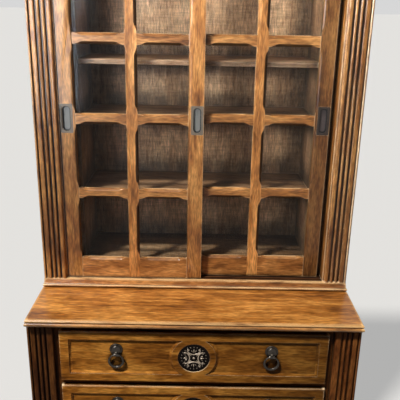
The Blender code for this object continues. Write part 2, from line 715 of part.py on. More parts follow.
def build_upper_case():
    """Add the upper case: waist board, track, sides, linings, floor, shelves, top and crown."""
    wood = case_wood()
    inside = inner_wood()
    waist = moulded_board("waist_board", waist_profile(), HUTCH_HALF, Y_UPPER, Y_BACK, wood)
    track_half = HUTCH_INNER
    y_track = Y_UPPER + DOOR_FACE_RECESS - 0.001
    rebate = box_mesh((-track_half, y_track, WAIST_TOP - TRACK_THICKNESS),
                      (track_half, Y_CHANNEL_BACK, WAIST_TOP + TRACK_THICKNESS))
    combine(waist, [rebate])
    track = board("lower_track", (-track_half + SEAT, y_track + SEAT, WAIST_TOP - TRACK_THICKNESS + SEAT),
                  (track_half - SEAT, Y_CHANNEL_BACK - SEAT, WAIST_TOP), track_wood())
    combine(track, [groove_mesh(index, WAIST_TOP - TRACK_GROOVE_DEPTH, WAIST_TOP + TRACK_THICKNESS)
                    for index in range(2)])
    y_side = Y_UPPER + PILASTER_THICKNESS + SEAT
    foot = WAIST_TOP + SEAT
    for side, word in ((-1, "left"), (1, "right")):
        outer, inner = side * HUTCH_HALF, side * HUTCH_INNER
        board(f"hutch_side_{word}", (min(outer, inner), y_side, foot),
              (max(outer, inner), Y_BACK, FRIEZE_BOTTOM - SEAT), wood)
        web = INNER_HALF_WIDTH + BOARD
        flange = Y_CHANNEL_BACK + BOARD
        section = [(INNER_HALF_WIDTH, Y_CHANNEL_BACK), (OPENING_HALF + JAMB_LEG, Y_CHANNEL_BACK),
                   (OPENING_HALF + JAMB_LEG, flange), (web, flange), (web, Y_PANEL - SEAT),
                   (INNER_HALF_WIDTH, Y_PANEL - SEAT)]
        lining = prism_mesh([(side * x, y) for x, y in section], 2, foot, TOP_BOARD_BOTTOM - SEAT)
        add_object(lining, f"hutch_lining_{word}", inside)
        upper_pilaster(side, word)
    across = INNER_HALF_WIDTH - SEAT
    y_inner = Y_PANEL - SEAT
    section = [(Y_CHANNEL_BACK, foot), (Y_CHANNEL_BACK + BOARD, foot),
               (Y_CHANNEL_BACK + BOARD, FLOOR_TOP - BOARD), (y_inner, FLOOR_TOP - BOARD),
               (y_inner, FLOOR_TOP), (Y_CHANNEL_BACK, FLOOR_TOP)]
    add_object(prism_mesh(section, 0, -across, across), "hutch_floor", inside)
    for word, rise in zip(("lower", "middle", "upper"), SHELF_TOPS):
        top = BASE_HEIGHT + rise
        board(f"shelf_{word}", (-across, Y_CHANNEL_BACK + SHELF_SETBACK, top - SHELF_THICKNESS),
              (across, y_inner, top), inside, ease=0.0015)
    frieze_inner = HUTCH_HALF - FRIEZE_THICKNESS - SEAT
    top_of_board = TOP_BOARD_BOTTOM + TOP_BOARD_THICKNESS
    top = board("hutch_top", (-frieze_inner, Y_UPPER + FRIEZE_THICKNESS + SEAT, TOP_BOARD_BOTTOM),
                (frieze_inner, y_inner, top_of_board), inside)
    combine(top, [groove_mesh(index, TOP_BOARD_BOTTOM - TOP_RAIL, TOP_BOARD_BOTTOM + TOP_GROOVE_DEPTH)
                  for index in range(2)])
    half = HUTCH_INNER - SEAT
    board("hutch_back", (-half, Y_PANEL, foot), (half, Y_PANEL_BACK, top_of_board), inside)
    moulding("cornice", crown_profile(), HUTCH_HALF, Y_UPPER, Y_BACK, wood)


def groove_mesh(index, low, high):
    """Return a cutter for the groove that guides one door, the front one at index 0."""
    middle = Y_UPPER + DOOR_FACE_RECESS + index * DOOR_PITCH + TONGUE_Y
    half = TRACK_GROOVE_WIDTH / 2
    return box_mesh((-OPENING_HALF, middle - half, low), (OPENING_HALF, middle + half, high))


def door_section(rebate_bottom):
    """Return the Y-Z section of a door member with a tongue at its foot and its head."""
    half = TONGUE_WIDTH / 2
    foot = DOOR_BOTTOM - BOTTOM_TONGUE
    head = DOOR_TOP + TOP_TONGUE
    return [(0.0, DOOR_BOTTOM), (TONGUE_Y - half, DOOR_BOTTOM), (TONGUE_Y - half, foot),
            (TONGUE_Y + half, foot), (TONGUE_Y + half, DOOR_BOTTOM), (rebate_bottom, DOOR_BOTTOM),
            (rebate_bottom, DOOR_TOP), (TONGUE_Y + half, DOOR_TOP), (TONGUE_Y + half, head),
            (TONGUE_Y - half, head), (TONGUE_Y - half, DOOR_TOP), (0.0, DOOR_TOP)]


def flare(distance, length):
    """Return how far a stopped chamfer is cut at a distance along one side of a pane."""
    near = min(distance, length - distance) - CHAMFER_START
    share = min(max(near / CHAMFER_RUN_IN, 0.0), 1.0)
    return CHAMFER_WIDTH * share * share * (3 - 2 * share)


def pane_sides(wide, high):
    """Yield each side of a pane as its start, its direction, its outward normal and its length."""
    yield (-wide / 2, -high / 2), (1, 0), (0, -1), wide
    yield (wide / 2, -high / 2), (0, 1), (1, 0), high
    yield (wide / 2, high / 2), (-1, 0), (0, 1), wide
    yield (-wide / 2, high / 2), (0, -1), (-1, 0), high


def pane_outline(centre, flared):
    """Return the outline of one pane, straight at the glass or flared by its stopped chamfers."""
    points = []
    for start, along, out, length in pane_sides(PANE_WIDTH, PANE_HEIGHT):
        stops = [CHAMFER_START + CHAMFER_RUN_IN * share for share in (0.0, 0.33, 0.67, 1.0)]
        for distance in [0.0, *stops, *[length - stop for stop in reversed(stops)]]:
            reach = flare(distance, length) if flared else 0.0
            points.append((centre[0] + start[0] + along[0] * distance + out[0] * reach,
                           centre[1] + start[1] + along[1] * distance + out[1] * reach))
    return points


def pane_cutters(door_x, y_face):
    """Return one cutter for each pane of a door, open to the front and through to the glass."""
    cutters = []
    for row in range(PANE_ROWS):
        z = GLASS_BOTTOM + PANE_HEIGHT / 2 + row * (PANE_HEIGHT + MUNTIN_WIDTH)
        for column in range(PANE_COLUMNS):
            x = door_x - GLASS_HALF + PANE_WIDTH / 2 + column * (PANE_WIDTH + UPRIGHT_WIDTH)
            bm = bmesh.new()
            skin(bm, [ring_at(bm, pane_outline((x, z), flared), y_face + y) for y, flared in (
                (-0.002, True), (0.0, True), (CHAMFER_DEPTH, False), (GLASS_SETBACK + 0.001, False))])
            bmesh.ops.recalc_face_normals(bm, faces=bm.faces)
            cutters.append(bm)
    return cutters


def joined(meshes):
    """Return one bmesh that holds several separate closed meshes."""
    whole = bmesh.new()
    for bm in meshes:
        loose = bpy.data.meshes.new("loose")
        bm.to_mesh(loose)
        bm.free()
        whole.from_mesh(loose)
        bpy.data.meshes.remove(loose)
    return whole


def rounded_outline(centre, wide, high, corner, steps):
    """Return a rectangle with round corners as X-Z points."""
    points = []
    for across, up, start in ((1, 1, 0), (-1, 1, 90), (-1, -1, 180), (1, -1, 270)):
        middle = (centre[0] + across * (wide / 2 - corner), centre[1] + up * (high / 2 - corner))
        points += arc(middle, corner, start, start + 90, steps)
    return points


def slot_outline(centre, grow):
    """Return the round-ended slot of a flush pull, grown by a margin."""
    wide = FLUSH_SLOT_WIDTH + 2 * grow
    return rounded_outline(centre, wide, FLUSH_SLOT_HEIGHT + 2 * grow, wide / 2 * 0.9, 6)


def mortise_cutter(centre, y_face):
    """Return the cutter for a flush pull's plate and cup in its stile."""
    bm = bmesh.new()
    margin = 2 * SEAT
    plate = rounded_outline(centre, FLUSH_WIDTH + margin, FLUSH_HEIGHT + margin, FLUSH_CORNER, 2)
    skin(bm, [ring_at(bm, plate, y_face + y) for y in (-0.002, FLUSH_PLATE + SEAT)])
    cup = bmesh.new()
    hole = slot_outline(centre, FLUSH_CUP_WALL + SEAT)
    deep = FLUSH_CUP_DEPTH + FLUSH_CUP_WALL + SEAT
    skin(cup, [ring_at(cup, hole, y_face + y) for y in (0.0, deep)])
    for mesh in (bm, cup):
        bmesh.ops.recalc_face_normals(mesh, faces=mesh.faces)
    return [bm, cup]


def flush_pull(name, centre, y_face, parent):
    """Add a flush pull: a plate with a round-ended finger cup behind it."""
    outline = rounded_outline(centre, FLUSH_WIDTH, FLUSH_HEIGHT, FLUSH_CORNER, 2)
    bm = bmesh.new()
    skin(bm, [ring_at(bm, outline, y_face + y) for y in (0.0, FLUSH_PLATE)])
    pull = add_object(bm, name, pewter(), parent)
    cup = bmesh.new()
    shell = slot_outline(centre, FLUSH_CUP_WALL)
    skin(cup, [ring_at(cup, shell, y_face + y) for y in (FLUSH_PLATE * 0.5, FLUSH_CUP_DEPTH + FLUSH_CUP_WALL)])
    hollow = bmesh.new()
    skin(hollow, [ring_at(hollow, slot_outline(centre, 0.0), y_face + y)
                  for y in (-0.002, FLUSH_CUP_DEPTH)])
    for mesh in (cup, hollow):
        bmesh.ops.recalc_face_normals(mesh, faces=mesh.faces)
    combine(pull, [cup], "UNION")
    combine(pull, [hollow])
    pull.data.shade_smooth()
    pull.data.set_sharp_from_angle(angle=math.radians(35))


def build_door(word, side, rest_x, layer, pulls):
    """Add one door: two stiles, the lattice of rails and muntins, the glass and its pulls.

    side is -1 where the outer stile is the left one; pulls lists the stiles that carry one.
    """
    y_face = Y_UPPER + DOOR_FACE_RECESS + layer * DOOR_PITCH
    carrier = empty(f"door_{word}_carrier", (rest_x, y_face, DOOR_BOTTOM))
    half = DOOR_WIDTH / 2
    pull_z = GLASS_BOTTOM + (PANE_ROWS * PANE_HEIGHT + (PANE_ROWS - 1) * MUNTIN_WIDTH) / 2
    rebate = (GLASS_HALF + REBATE_LAP, GLASS_SETBACK - SEAT)
    pieces = (("outer_stile", side * half, side * GLASS_HALF),
              ("inner_stile", -side * half, -side * GLASS_HALF),
              ("lattice", -(GLASS_HALF - SEAT), GLASS_HALF - SEAT))
    for piece, first, second in pieces:
        low, high = min(first, second), max(first, second)
        section = [(y, z - DOOR_BOTTOM) for y, z in door_section(DOOR_THICKNESS)]
        bm = prism_mesh(section, 0, low, high)
        made = add_object(bm, f"door_{word}_{piece}", case_wood(), carrier)
        back = box_mesh((-rebate[0], rebate[1], BOTTOM_RAIL - REBATE_LAP),
                        (rebate[0], DOOR_THICKNESS + 0.002, GLASS_TOP - DOOR_BOTTOM + REBATE_LAP))
        panes = joined(pane_cutters(0.0, 0.0))
        bmesh.ops.translate(panes, vec=(0.0, 0.0, -DOOR_BOTTOM), verts=panes.verts)
        tools = [back, panes]
        if piece in pulls:
            edge = -side if piece == "inner_stile" else side
            centre = (edge * (half - FLUSH_EDGE - FLUSH_WIDTH / 2), pull_z - DOOR_BOTTOM)
            tools += mortise_cutter(centre, 0.0)
            flush_pull(f"flush_pull_{word}_{piece.split('_')[0]}", centre, 0.0, carrier)
        combine(made, tools)
    pane = GLASS_HALF + GLASS_LAP
    board(f"door_{word}_glass", (-pane, GLASS_SETBACK, BOTTOM_RAIL - GLASS_LAP),
          (pane, GLASS_SETBACK + GLASS_THICKNESS, GLASS_TOP - DOOR_BOTTOM + GLASS_LAP), glass(), carrier)


def build_doors():
    """Add the two bypass doors at rest, the left one in the front groove."""
    half = DOOR_WIDTH / 2
    left_x = -(OPENING_HALF - DOOR_SIDE_GAP) + half
    right_x = OPENING_HALF - REAR_DOOR_GAP - half
    build_door("left", -1, left_x, 0, ("outer_stile", "inner_stile"))
    build_door("right", 1, right_x, 1, ("outer_stile",))


def main():
    """Clear the scene and build the whole cabinet."""
    for old in list(bpy.data.objects):
        bpy.data.objects.remove(old, do_unlink=True)
    build_base()
    build_drawers()
    build_upper_case()
    build_doors()


main()
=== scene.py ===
"""Two-door glazed hutch over a three-drawer chest: its finishes, castings, carvings, studio and camera."""

import json
import logging
import math
from collections.abc import Callable, Sequence
from dataclasses import dataclass, replace
from enum import Enum
from functools import partial, reduce

import bmesh
import bpy
from mathutils import Matrix, Vector

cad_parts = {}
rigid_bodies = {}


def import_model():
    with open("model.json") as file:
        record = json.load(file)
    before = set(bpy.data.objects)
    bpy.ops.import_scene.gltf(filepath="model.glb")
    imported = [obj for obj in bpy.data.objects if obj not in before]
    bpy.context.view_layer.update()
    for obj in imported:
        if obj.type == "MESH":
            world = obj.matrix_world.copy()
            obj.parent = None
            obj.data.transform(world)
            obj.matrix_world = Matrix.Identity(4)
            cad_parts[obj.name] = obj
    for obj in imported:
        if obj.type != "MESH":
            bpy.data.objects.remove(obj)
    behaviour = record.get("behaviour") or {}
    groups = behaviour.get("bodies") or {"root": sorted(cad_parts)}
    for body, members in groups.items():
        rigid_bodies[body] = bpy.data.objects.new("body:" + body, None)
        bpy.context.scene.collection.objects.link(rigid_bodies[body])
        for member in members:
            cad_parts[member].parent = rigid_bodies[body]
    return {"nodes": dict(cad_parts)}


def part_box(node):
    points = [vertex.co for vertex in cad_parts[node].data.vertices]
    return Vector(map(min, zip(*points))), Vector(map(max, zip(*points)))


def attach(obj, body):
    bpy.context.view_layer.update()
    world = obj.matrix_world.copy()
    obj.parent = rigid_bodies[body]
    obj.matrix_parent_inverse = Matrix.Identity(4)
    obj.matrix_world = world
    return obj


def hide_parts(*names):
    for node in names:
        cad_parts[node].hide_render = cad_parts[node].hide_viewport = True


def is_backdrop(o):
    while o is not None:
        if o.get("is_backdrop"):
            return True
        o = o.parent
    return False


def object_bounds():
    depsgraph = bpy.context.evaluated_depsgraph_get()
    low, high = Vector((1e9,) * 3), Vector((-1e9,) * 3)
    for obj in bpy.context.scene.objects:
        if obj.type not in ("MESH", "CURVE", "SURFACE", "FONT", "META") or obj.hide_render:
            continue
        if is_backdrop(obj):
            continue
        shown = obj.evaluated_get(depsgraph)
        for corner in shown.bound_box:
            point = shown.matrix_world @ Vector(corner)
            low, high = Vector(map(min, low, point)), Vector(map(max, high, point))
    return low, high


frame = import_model()

LOG = logging.getLogger("hutch")
Colour = tuple[float, float, float, float]
Triple = tuple[float, float, float]
Pair = tuple[float, float]
Socket = bpy.types.NodeSocket
Piece = bpy.types.Object
Mesh = bpy.types.Mesh
Material = bpy.types.Material
Shell = bmesh.types.BMesh
Corner = bmesh.types.BMVert

SIDES = ("left", "right")
FULL_TURN = 2 * math.pi
FRONT = Vector((0.0, 1.0, 0.0))
SIDEWAYS = Vector((1.0, 0.0, 0.0))
LYING = (math.pi / 2, 0.0, 0.0)
WHITE = (1.0, 1.0, 1.0, 1.0)


def paint(red: int, green: int, blue: int) -> Colour:
    """Turn a colour as a screen shows it into the linear one that a shader takes.

    Args:
        red: Red, 0 to 255.
        green: Green, 0 to 255.
        blue: Blue, 0 to 255.

    Returns:
        The linear colour, with an alpha of one.
    """
    shares = (value / 255.0 for value in (red, green, blue))
    linear = [share / 12.92 if share <= 0.04045 else ((share + 0.055) / 1.055) ** 2.4 for share in shares]
    return (*linear, 1.0)


class Grain(Enum):
    """The way that the grain of a piece of wood runs."""

    WIDE = "x"
    DEEP = "y"
    TALL = "z"

    @property
    def order(self) -> tuple[int, int, int]:
        """The three axes, with the one along the grain first."""
        return {"x": (0, 1, 2), "y": (1, 0, 2), "z": (2, 0, 1)}[self.value]


class NodeTree:
    """A tree of nodes that is filled one node after another."""

    def __init__(self, tree: bpy.types.NodeTree) -> None:
        """Keep what the nodes and links are added to."""
        self.nodes = tree.nodes
        self.links = tree.links

    def node(self, kind: str, inputs: dict, **settings: object) -> bpy.types.Node:
        """Add one node.

        Args:
            kind: The node's type.
            inputs: What goes into its sockets, by socket name or number.
            settings: The node's own properties.

        Returns:
            The new node.
        """
        node = self.nodes.new(kind)
        for name, value in settings.items():
            setattr(node, name, value)
        for key, value in inputs.items():
            if isinstance(value, Socket):
                self.links.new(value, node.inputs[key])
            else:
                node.inputs[key].default_value = value
        return node

    def add(self, kind: str, inputs: dict, **settings: object) -> Socket:
        """Add one node and return its first output."""
        return self.node(kind, inputs, **settings).outputs[0]

    def calc(self, operation: str, *values: Socket | float) -> Socket:
        """Add a Math node and return its answer."""
        return self.add("ShaderNodeMath", dict(enumerate(values)), operation=operation)

    def times(self, first: Socket, *others: Socket | float) -> Socket:
        """Multiply a value by all the others."""
        return reduce(partial(self.calc, "MULTIPLY"), others, first)

    def span(self, value: Socket, low: float, high: float, start: float = 0.0, end: float = 1.0) -> Socket:
        """Carry a value smoothly from low and high to start and end."""
        inputs = {"Value": value, 1: low, 2: high, 3: start, 4: end}
        return self.add("ShaderNodeMapRange", inputs, interpolation_type="SMOOTHSTEP")

    def axes(self, vector: Socket) -> Sequence[Socket]:
        """Split a vector into X, Y and Z."""
        return self.node("ShaderNodeSeparateXYZ", {0: vector}).outputs

    def vector(self, parts: dict[int, Socket]) -> Socket:
        """Join parts, by the number of their axis, into a vector."""
        return self.add("ShaderNodeCombineXYZ", parts)


class ShaderTree(NodeTree):
    """The nodes of one material."""

    def __init__(self, name: str) -> None:
        """Start an empty material.

        Args:
            name: The material's name.
        """
        self.material = bpy.data.materials.new(name)
        self.material.use_nodes = True
        super().__init__(self.material.node_tree)
        self.nodes.clear()

    def own_place(self) -> Socket:
        """Return the piece's own coordinates."""
        return self.node("ShaderNodeTexCoord", {}).outputs["Object"]

    def moved(self, place: Socket, shift: Triple) -> Socket:
        """Move coordinates, so that no two pieces have the same figure."""
        return self.add("ShaderNodeMapping", {"Vector": place, "Location": shift})

    def blend(self, share: Socket | float, first: Socket | Colour, second: Socket | Colour,
              kind: str = "MIX") -> Socket:
        """Lay a share of the second colour over the first."""
        inputs = {0: share, 6: first, 7: second}
        return self.node("ShaderNodeMix", inputs, data_type="RGBA", blend_type=kind).outputs[2]

    def ramp(self, value: Socket, stops: Sequence[tuple[float, Colour]]) -> Socket:
        """Turn a value into a colour.

        Args:
            value: The value.
            stops: The places and colours of the ramp.

        Returns:
            The colour's socket.
        """
        node = self.node("ShaderNodeValToRGB", {0: value})
        steps = node.color_ramp.elements
        while len(steps) < len(stops):
            steps.new(0.5)
        for step, (place, colour) in zip(steps, stops):
            step.position = place
            step.color = colour
        return node.outputs[0]

    def noise(self, place: Socket, scale: Triple, detail: float, bend: float = 0.0) -> Socket:
        """Add a stretched noise.

        Args:
            place: The coordinates that it reads.
            scale: How fine it is along each of them.
            detail: How many finer layers it has.
            bend: How far it is distorted.

        Returns:
            The socket of its value.
        """
        stretched = self.add("ShaderNodeMapping", {"Vector": place, "Scale": scale})
        return self.node("ShaderNodeTexNoise", {
            "Vector": stretched, "Scale": 1.0, "Detail": detail, "Roughness": 0.55,
            "Distortion": bend}).outputs["Fac"]

    def hollow(self, reach: float, inside: bool = False) -> Socket:
        """Measure how enclosed a point is, or with inside how near it is to an outer edge.

        Args:
            reach: How far it looks, in metres.
            inside: Whether it looks into the piece.

        Returns:
            The socket of a value that is 0 in the open and rises to 1.
        """
        node = self.node("ShaderNodeAmbientOcclusion", {"Distance": reach}, samples=8, inside=inside,
                         only_local=inside)
        return self.calc("SUBTRACT", 1.0, node.outputs["AO"])

    def bump(self, height: Socket, strength: float, distance: float) -> Socket:
        """Turn a height into a normal."""
        inputs = {"Strength": strength, "Distance": distance, "Height": height}
        return self.add("ShaderNodeBump", inputs)

    def close(self, shader: Socket) -> Material:
        """Give the material its shader and return it."""
        self.node("ShaderNodeOutputMaterial", {"Surface": shader})
        return self.material


Overlay = Callable[[ShaderTree, Socket], Socket]


@dataclass(frozen=True)
class AgedWood:
    """Hardwood with a wiped glaze: mottled figure, fine fibres, hollows dark with glaze and painted shade,
    edges pale with wear and a painted highlight.
    """

    name: str
    pale: Colour
    middle: Colour
    deep: Colour
    glaze_and_shade: Colour
    worn_and_highlight: Colour
    # How far the darkening of a hollow reaches out of it, in metres, and how much of it shows there: partly
    # glaze, partly painted shade.
    glaze_and_shade_reach: float = 0.014
    glaze_and_shade_share: float = 0.96
    # The same for the pale edges, partly wear and partly a painted highlight, and the closeness to an edge
    # at which they are full.
    wear_and_highlight_reach: float = 0.0034
    wear_and_highlight_share: float = 0.65
    wear_and_highlight_full: float = 0.60
    # How pale the edges away from the light are drawn, and how much a left-hand edge counts as lit: a
    # painted highlight.
    unlit_edge_share: float = 0.25
    left_edge_lit: float = 1.0
    # How far each count of the seed moves the figure along the three axes, and where it starts again.
    seed_moves: tuple[Pair, ...] = ((1.37, 7.1), (2.11, 5.3), (0.83, 3.7))
    # How fine the figure is across the grain and along it, and the other layers along and across it.
    coarse: float = 44.0
    figure_along: float = 8.0
    fibre_scale: Triple = (38.0, 230.0, 230.0)
    cloud_scale: Triple = (5.0, 13.0, 13.0)
    pore_scale: Triple = (22.0, 170.0, 170.0)
    weave_scale: Triple = (170.0, 16.0, 16.0)
    # The tones of the deep, middle and pale colours, and the share of the clouds in the tone.
    tones: Triple = (0.34, 0.47, 0.62)
    cloud_tone: float = 0.52
    # The tones of the darkest and palest fibres, and how much glaze the pores hold.
    fibre_tones: Pair = (0.64, 1.22)
    pore_share: float = 0.40
    # How strongly the fibres stand out, and how far in metres.
    relief: float = 0.16
    relief_depth: float = 0.0008
    roughness: float = 0.42
    specular: float = 0.16
    coat: float = 0.40
    coat_roughness: float = 0.20
    # How strongly the cross fibres of a back show.
    weave: float = 0.0
    # How much painted shade lies on chamfers that face away from the light.
    painted_chamfer_shade: float = 0.0
    # Painted shade: how much darker the right end is than the middle, and the foot than the head. Below 0
    # it is paler.
    painted_side_shade: float = 0.14
    painted_side_shade_reach: float = 0.55
    painted_height_shade: float = 0.0
    painted_height_shade_foot: float = 1.0
    painted_height_shade_head: float = 1.75
    # Half the upright bar's width, half its joint line's, its tone, and that of the bars across it.
    bar_half: float = 0.0191
    bar_joint: float = 0.0006
    bar_shade: float = 1.12
    cross_shade: float = 1.0

    def grained(self, tree: ShaderTree, split: Sequence[Socket], grain: Grain, seed: int,
                beside: Socket | None) -> Socket:
        """Turn the piece's own coordinates so that the first of them runs with the grain.

        Args:
            tree: The material's nodes.
            split: The piece's own X, Y and Z.
            grain: The way that the grain runs.
            seed: A number that moves the figure from piece to piece.
            beside: The distance from an upright bar in a piece whose grain runs sideways, or None.

        Returns:
            The socket of the turned coordinates.
        """
        turned = tree.vector(dict(enumerate(split[axis] for axis in grain.order)))
        if beside is not None:
            tall = tree.vector(dict(enumerate(split[axis] for axis in Grain.TALL.order)))
            inputs = {0: tree.calc("LESS_THAN", beside, self.bar_half), 4: turned, 5: tall}
            turned = tree.node("ShaderNodeMix", inputs, data_type="VECTOR").outputs[1]
        return tree.moved(turned, tuple(seed * step % width for step, width in self.seed_moves))

    def brightness(self, tree: ShaderTree, split: Sequence[Socket], place: Socket,
                   beside: Socket | None) -> Socket:
        """Work out how the tone changes over the piece, apart from its fibres, with its painted shade.

        Args:
            tree: The material's nodes.
            split: The piece's own X, Y and Z.
            place: The coordinates along the grain.
            beside: The distance from an upright bar, or None.

        Returns:
            The socket of a factor around 1.
        """
        # Painted shade: darker towards the right end, and darker or paler towards the foot, as set.
        ends = {"Value": split[0], 1: -self.painted_side_shade_reach, 2: self.painted_side_shade_reach,
                3: 1.0 + self.painted_side_shade, 4: 1.0 - self.painted_side_shade}
        tone = tree.add("ShaderNodeMapRange", ends)
        if self.painted_height_shade:
            foot_shade = tree.span(split[2], self.painted_height_shade_foot, self.painted_height_shade_head, 1.0 - self.painted_height_shade, 1.0)
            tone = tree.times(tone, foot_shade)
        if beside is not None:
            joint = (self.bar_half - self.bar_joint, self.bar_half + self.bar_joint)
            tone = tree.times(tone, tree.span(beside, *joint, self.bar_shade, self.cross_shade))
        if self.weave:
            cross = tree.noise(place, self.weave_scale, detail=1.0)
            tone = tree.times(tone, tree.span(cross, 0.3, 0.7, 1.0 - self.weave, 1.0 + self.weave))
        return tone

    def aged(self, tree: ShaderTree, colour: Socket, figure: Socket, cloud: Socket) -> Socket:
        """Darken hollows with glaze and painted shade, shade chamfers away from the light, and pale edges
        with wear and a painted highlight.

        Args:
            tree: The material's nodes.
            colour: The wood's colour.
            figure: The figure, which breaks the rubbing up.
            cloud: The clouds, which break up the darkening of the hollows.

        Returns:
            The socket of the colour with its glaze, wear, painted shade and painted highlight.
        """
        patchy = tree.span(cloud, 0.30, 0.60, 0.55, 1.0)
        # Dark hollows: partly glaze, partly painted shade in corners, recesses and under overhangs.
        hollow = tree.span(tree.hollow(self.glaze_and_shade_reach), 0.06, 0.38, 0.0, self.glaze_and_shade_share)
        colour = tree.blend(tree.times(hollow, patchy), colour, self.glaze_and_shade)
        # Pale edges: partly wear, partly a painted highlight that is strongest where an edge faces up or to
        # the left, towards the light.
        near = tree.hollow(self.wear_and_highlight_reach, inside=True)
        edge = tree.span(near, 0.20, self.wear_and_highlight_full, 0.0, self.wear_and_highlight_share)
        broken = tree.span(figure, 0.28, 0.54)
        faces = tree.axes(tree.node("ShaderNodeTexCoord", {}).outputs["Normal"])
        lit = tree.calc("SUBTRACT", faces[2], tree.times(faces[0], self.left_edge_lit))
        facing_light = tree.span(lit, -0.3, 0.4, self.unlit_edge_share, 1.0)
        colour = tree.blend(tree.times(edge, broken, facing_light), colour, self.worn_and_highlight)
        # Painted shade on the chamfers that face away from the light, to the right and down.
        if self.painted_chamfer_shade:
            wide, deep, tall = (tree.calc("ABSOLUTE", face) for face in faces)
            flat = tree.calc("MAXIMUM", tree.calc("MAXIMUM", wide, deep), tall)
            away = tree.span(tree.calc("SUBTRACT", faces[0], faces[2]), -0.2, 0.5, 0.2, 1.0)
            slanted = tree.span(flat, 0.98, 0.80, 0.0, self.painted_chamfer_shade)
            colour = tree.blend(tree.times(slanted, away), colour, self.glaze_and_shade)
        return colour

    def material(self, grain: Grain, seed: int, upright: float | None = None,
                 overlay: Overlay | None = None, shade: float = 1.0) -> Material:
        """Make the wood for one piece.

        Args:
            grain: The way that its grain runs.
            seed: A number that moves the figure from piece to piece.
            upright: The middle of a bar of upright grain, or None.
            overlay: Something that is laid over the colour before its hollows and edges are darkened and
                paled.
            shade: How pale this piece is drawn beside its neighbours: partly its own tone, partly painted
                light and shade where it stands.

        Returns:
            The material.
        """
        tree = ShaderTree(f"{self.name}_{grain.value}_{seed}")
        split = tree.axes(tree.own_place())
        beside = None
        if upright is not None:
            beside = tree.calc("ABSOLUTE", tree.calc("SUBTRACT", split[0], upright))
        place = self.grained(tree, split, grain, seed, beside)
        figure = tree.noise(place, (self.figure_along, self.coarse, self.coarse), detail=4.0, bend=0.7)
        fibre = tree.noise(place, self.fibre_scale, detail=2.0)
        cloud = tree.noise(place, self.cloud_scale, detail=3.0, bend=0.5)
        pores = tree.noise(place, self.pore_scale, detail=1.0)
        clouds = tree.times(cloud, self.cloud_tone)
        tone = tree.calc("MULTIPLY_ADD", figure, 1.0 - self.cloud_tone, clouds)
        colour = tree.ramp(tone, list(zip(self.tones, (self.deep, self.middle, self.pale))))
        fibres = tree.span(fibre, 0.30, 0.72, *(part * shade for part in self.fibre_tones))
        dim = tree.times(fibres, self.brightness(tree, split, place, beside))
        shaded = tree.add("ShaderNodeCombineColor", {0: dim, 1: dim, 2: dim})
        colour = tree.blend(1.0, colour, shaded, "MULTIPLY")
        colour = tree.blend(tree.span(pores, 0.60, 0.76, 0.0, self.pore_share), colour, self.glaze_and_shade)
        if overlay is not None:
            colour = overlay(tree, colour)
        colour = self.aged(tree, colour, figure, cloud)
        rough = tree.span(fibre, 0.30, 0.70, self.roughness - 0.05, self.roughness + 0.09)
        surface = tree.calc("MULTIPLY_ADD", pores, -0.5, fibre)
        bump = tree.bump(surface, self.relief, self.relief_depth)
        shader = tree.add("ShaderNodeBsdfPrincipled", {
            "Base Color": colour, "Roughness": rough, "Specular IOR Level": self.specular,
            "Coat Weight": self.coat, "Coat Roughness": self.coat_roughness, "Normal": bump})
        return tree.close(shader)


@dataclass(frozen=True)
class AgedMetal:
    """Cast metal, dark in its hollows and pale on its high places: patina and rubbing, and on the flush
    pulls and rosette also painted shadow and a painted glint.
    """

    name: str
    patina: Colour
    rubbed: Colour
    hollow: Colour
    metallic: float
    roughness: float
    specular: float = 0.5
    mottle_scale: float = 95.0
    # How fine, how strong and how deep the pits are.
    pit_scale: float = 700.0
    pitting: float = 0.22
    pit_depth: float = 0.0003
    evenness: float = 0.6
    rub_reach: float = 0.0016
    rub_share: float = 0.8
    hollow_reach: float = 0.005
    # The enclosure between which a hollow turns dark, and how dark it turns where there is a relief.
    hollow_from: float = 0.35
    hollow_to: float = 0.85
    hollow_share: float = 0.35
    # Whether the ground of a relief keeps the patina, and isn't as dark as a hollow.
    plain: bool = False

    def material(self, seed: int, relief: Pair | None = None) -> Material:
        """Make the metal for one casting.

        Args:
            seed: A number that moves the patina from piece to piece.
            relief: The depths between which a carved face turns from dark to pale, or None.

        Returns:
            The material.
        """
        tree = ShaderTree(f"{self.name}_{seed}")
        own = tree.own_place()
        place = tree.moved(own, (seed * 0.37, 0.0, seed * 0.53))
        mottle = tree.noise(place, (self.mottle_scale,) * 3, detail=3.0)
        pits = tree.noise(place, (self.pit_scale,) * 3, detail=2.0)
        low = (*(value * self.evenness for value in self.patina[:3]), 1.0)
        colour = tree.ramp(mottle, ((0.35, low), (0.62, self.patina)))
        edge = tree.span(tree.hollow(self.rub_reach, inside=True), 0.25, 0.70, 0.0, self.rub_share)
        colour = tree.blend(tree.times(edge, tree.span(mottle, 0.30, 0.55)), colour, self.rubbed)
        deep = tree.span(tree.hollow(self.hollow_reach), self.hollow_from, self.hollow_to)
        if relief is not None:
            high = tree.span(tree.axes(own)[1], *relief)
            colour = tree.blend(high, self.patina if self.plain else self.hollow, self.rubbed)
            deep = tree.times(deep, self.hollow_share)
        colour = tree.blend(deep, colour, self.hollow)
        rough = tree.span(mottle, 0.30, 0.70, self.roughness - 0.08, self.roughness + 0.10)
        shader = tree.add("ShaderNodeBsdfPrincipled", {
            "Base Color": colour, "Metallic": self.metallic, "Roughness": rough,
            "Specular IOR Level": self.specular, "Normal": tree.bump(pits, self.pitting, self.pit_depth)})
        return tree.close(shader)


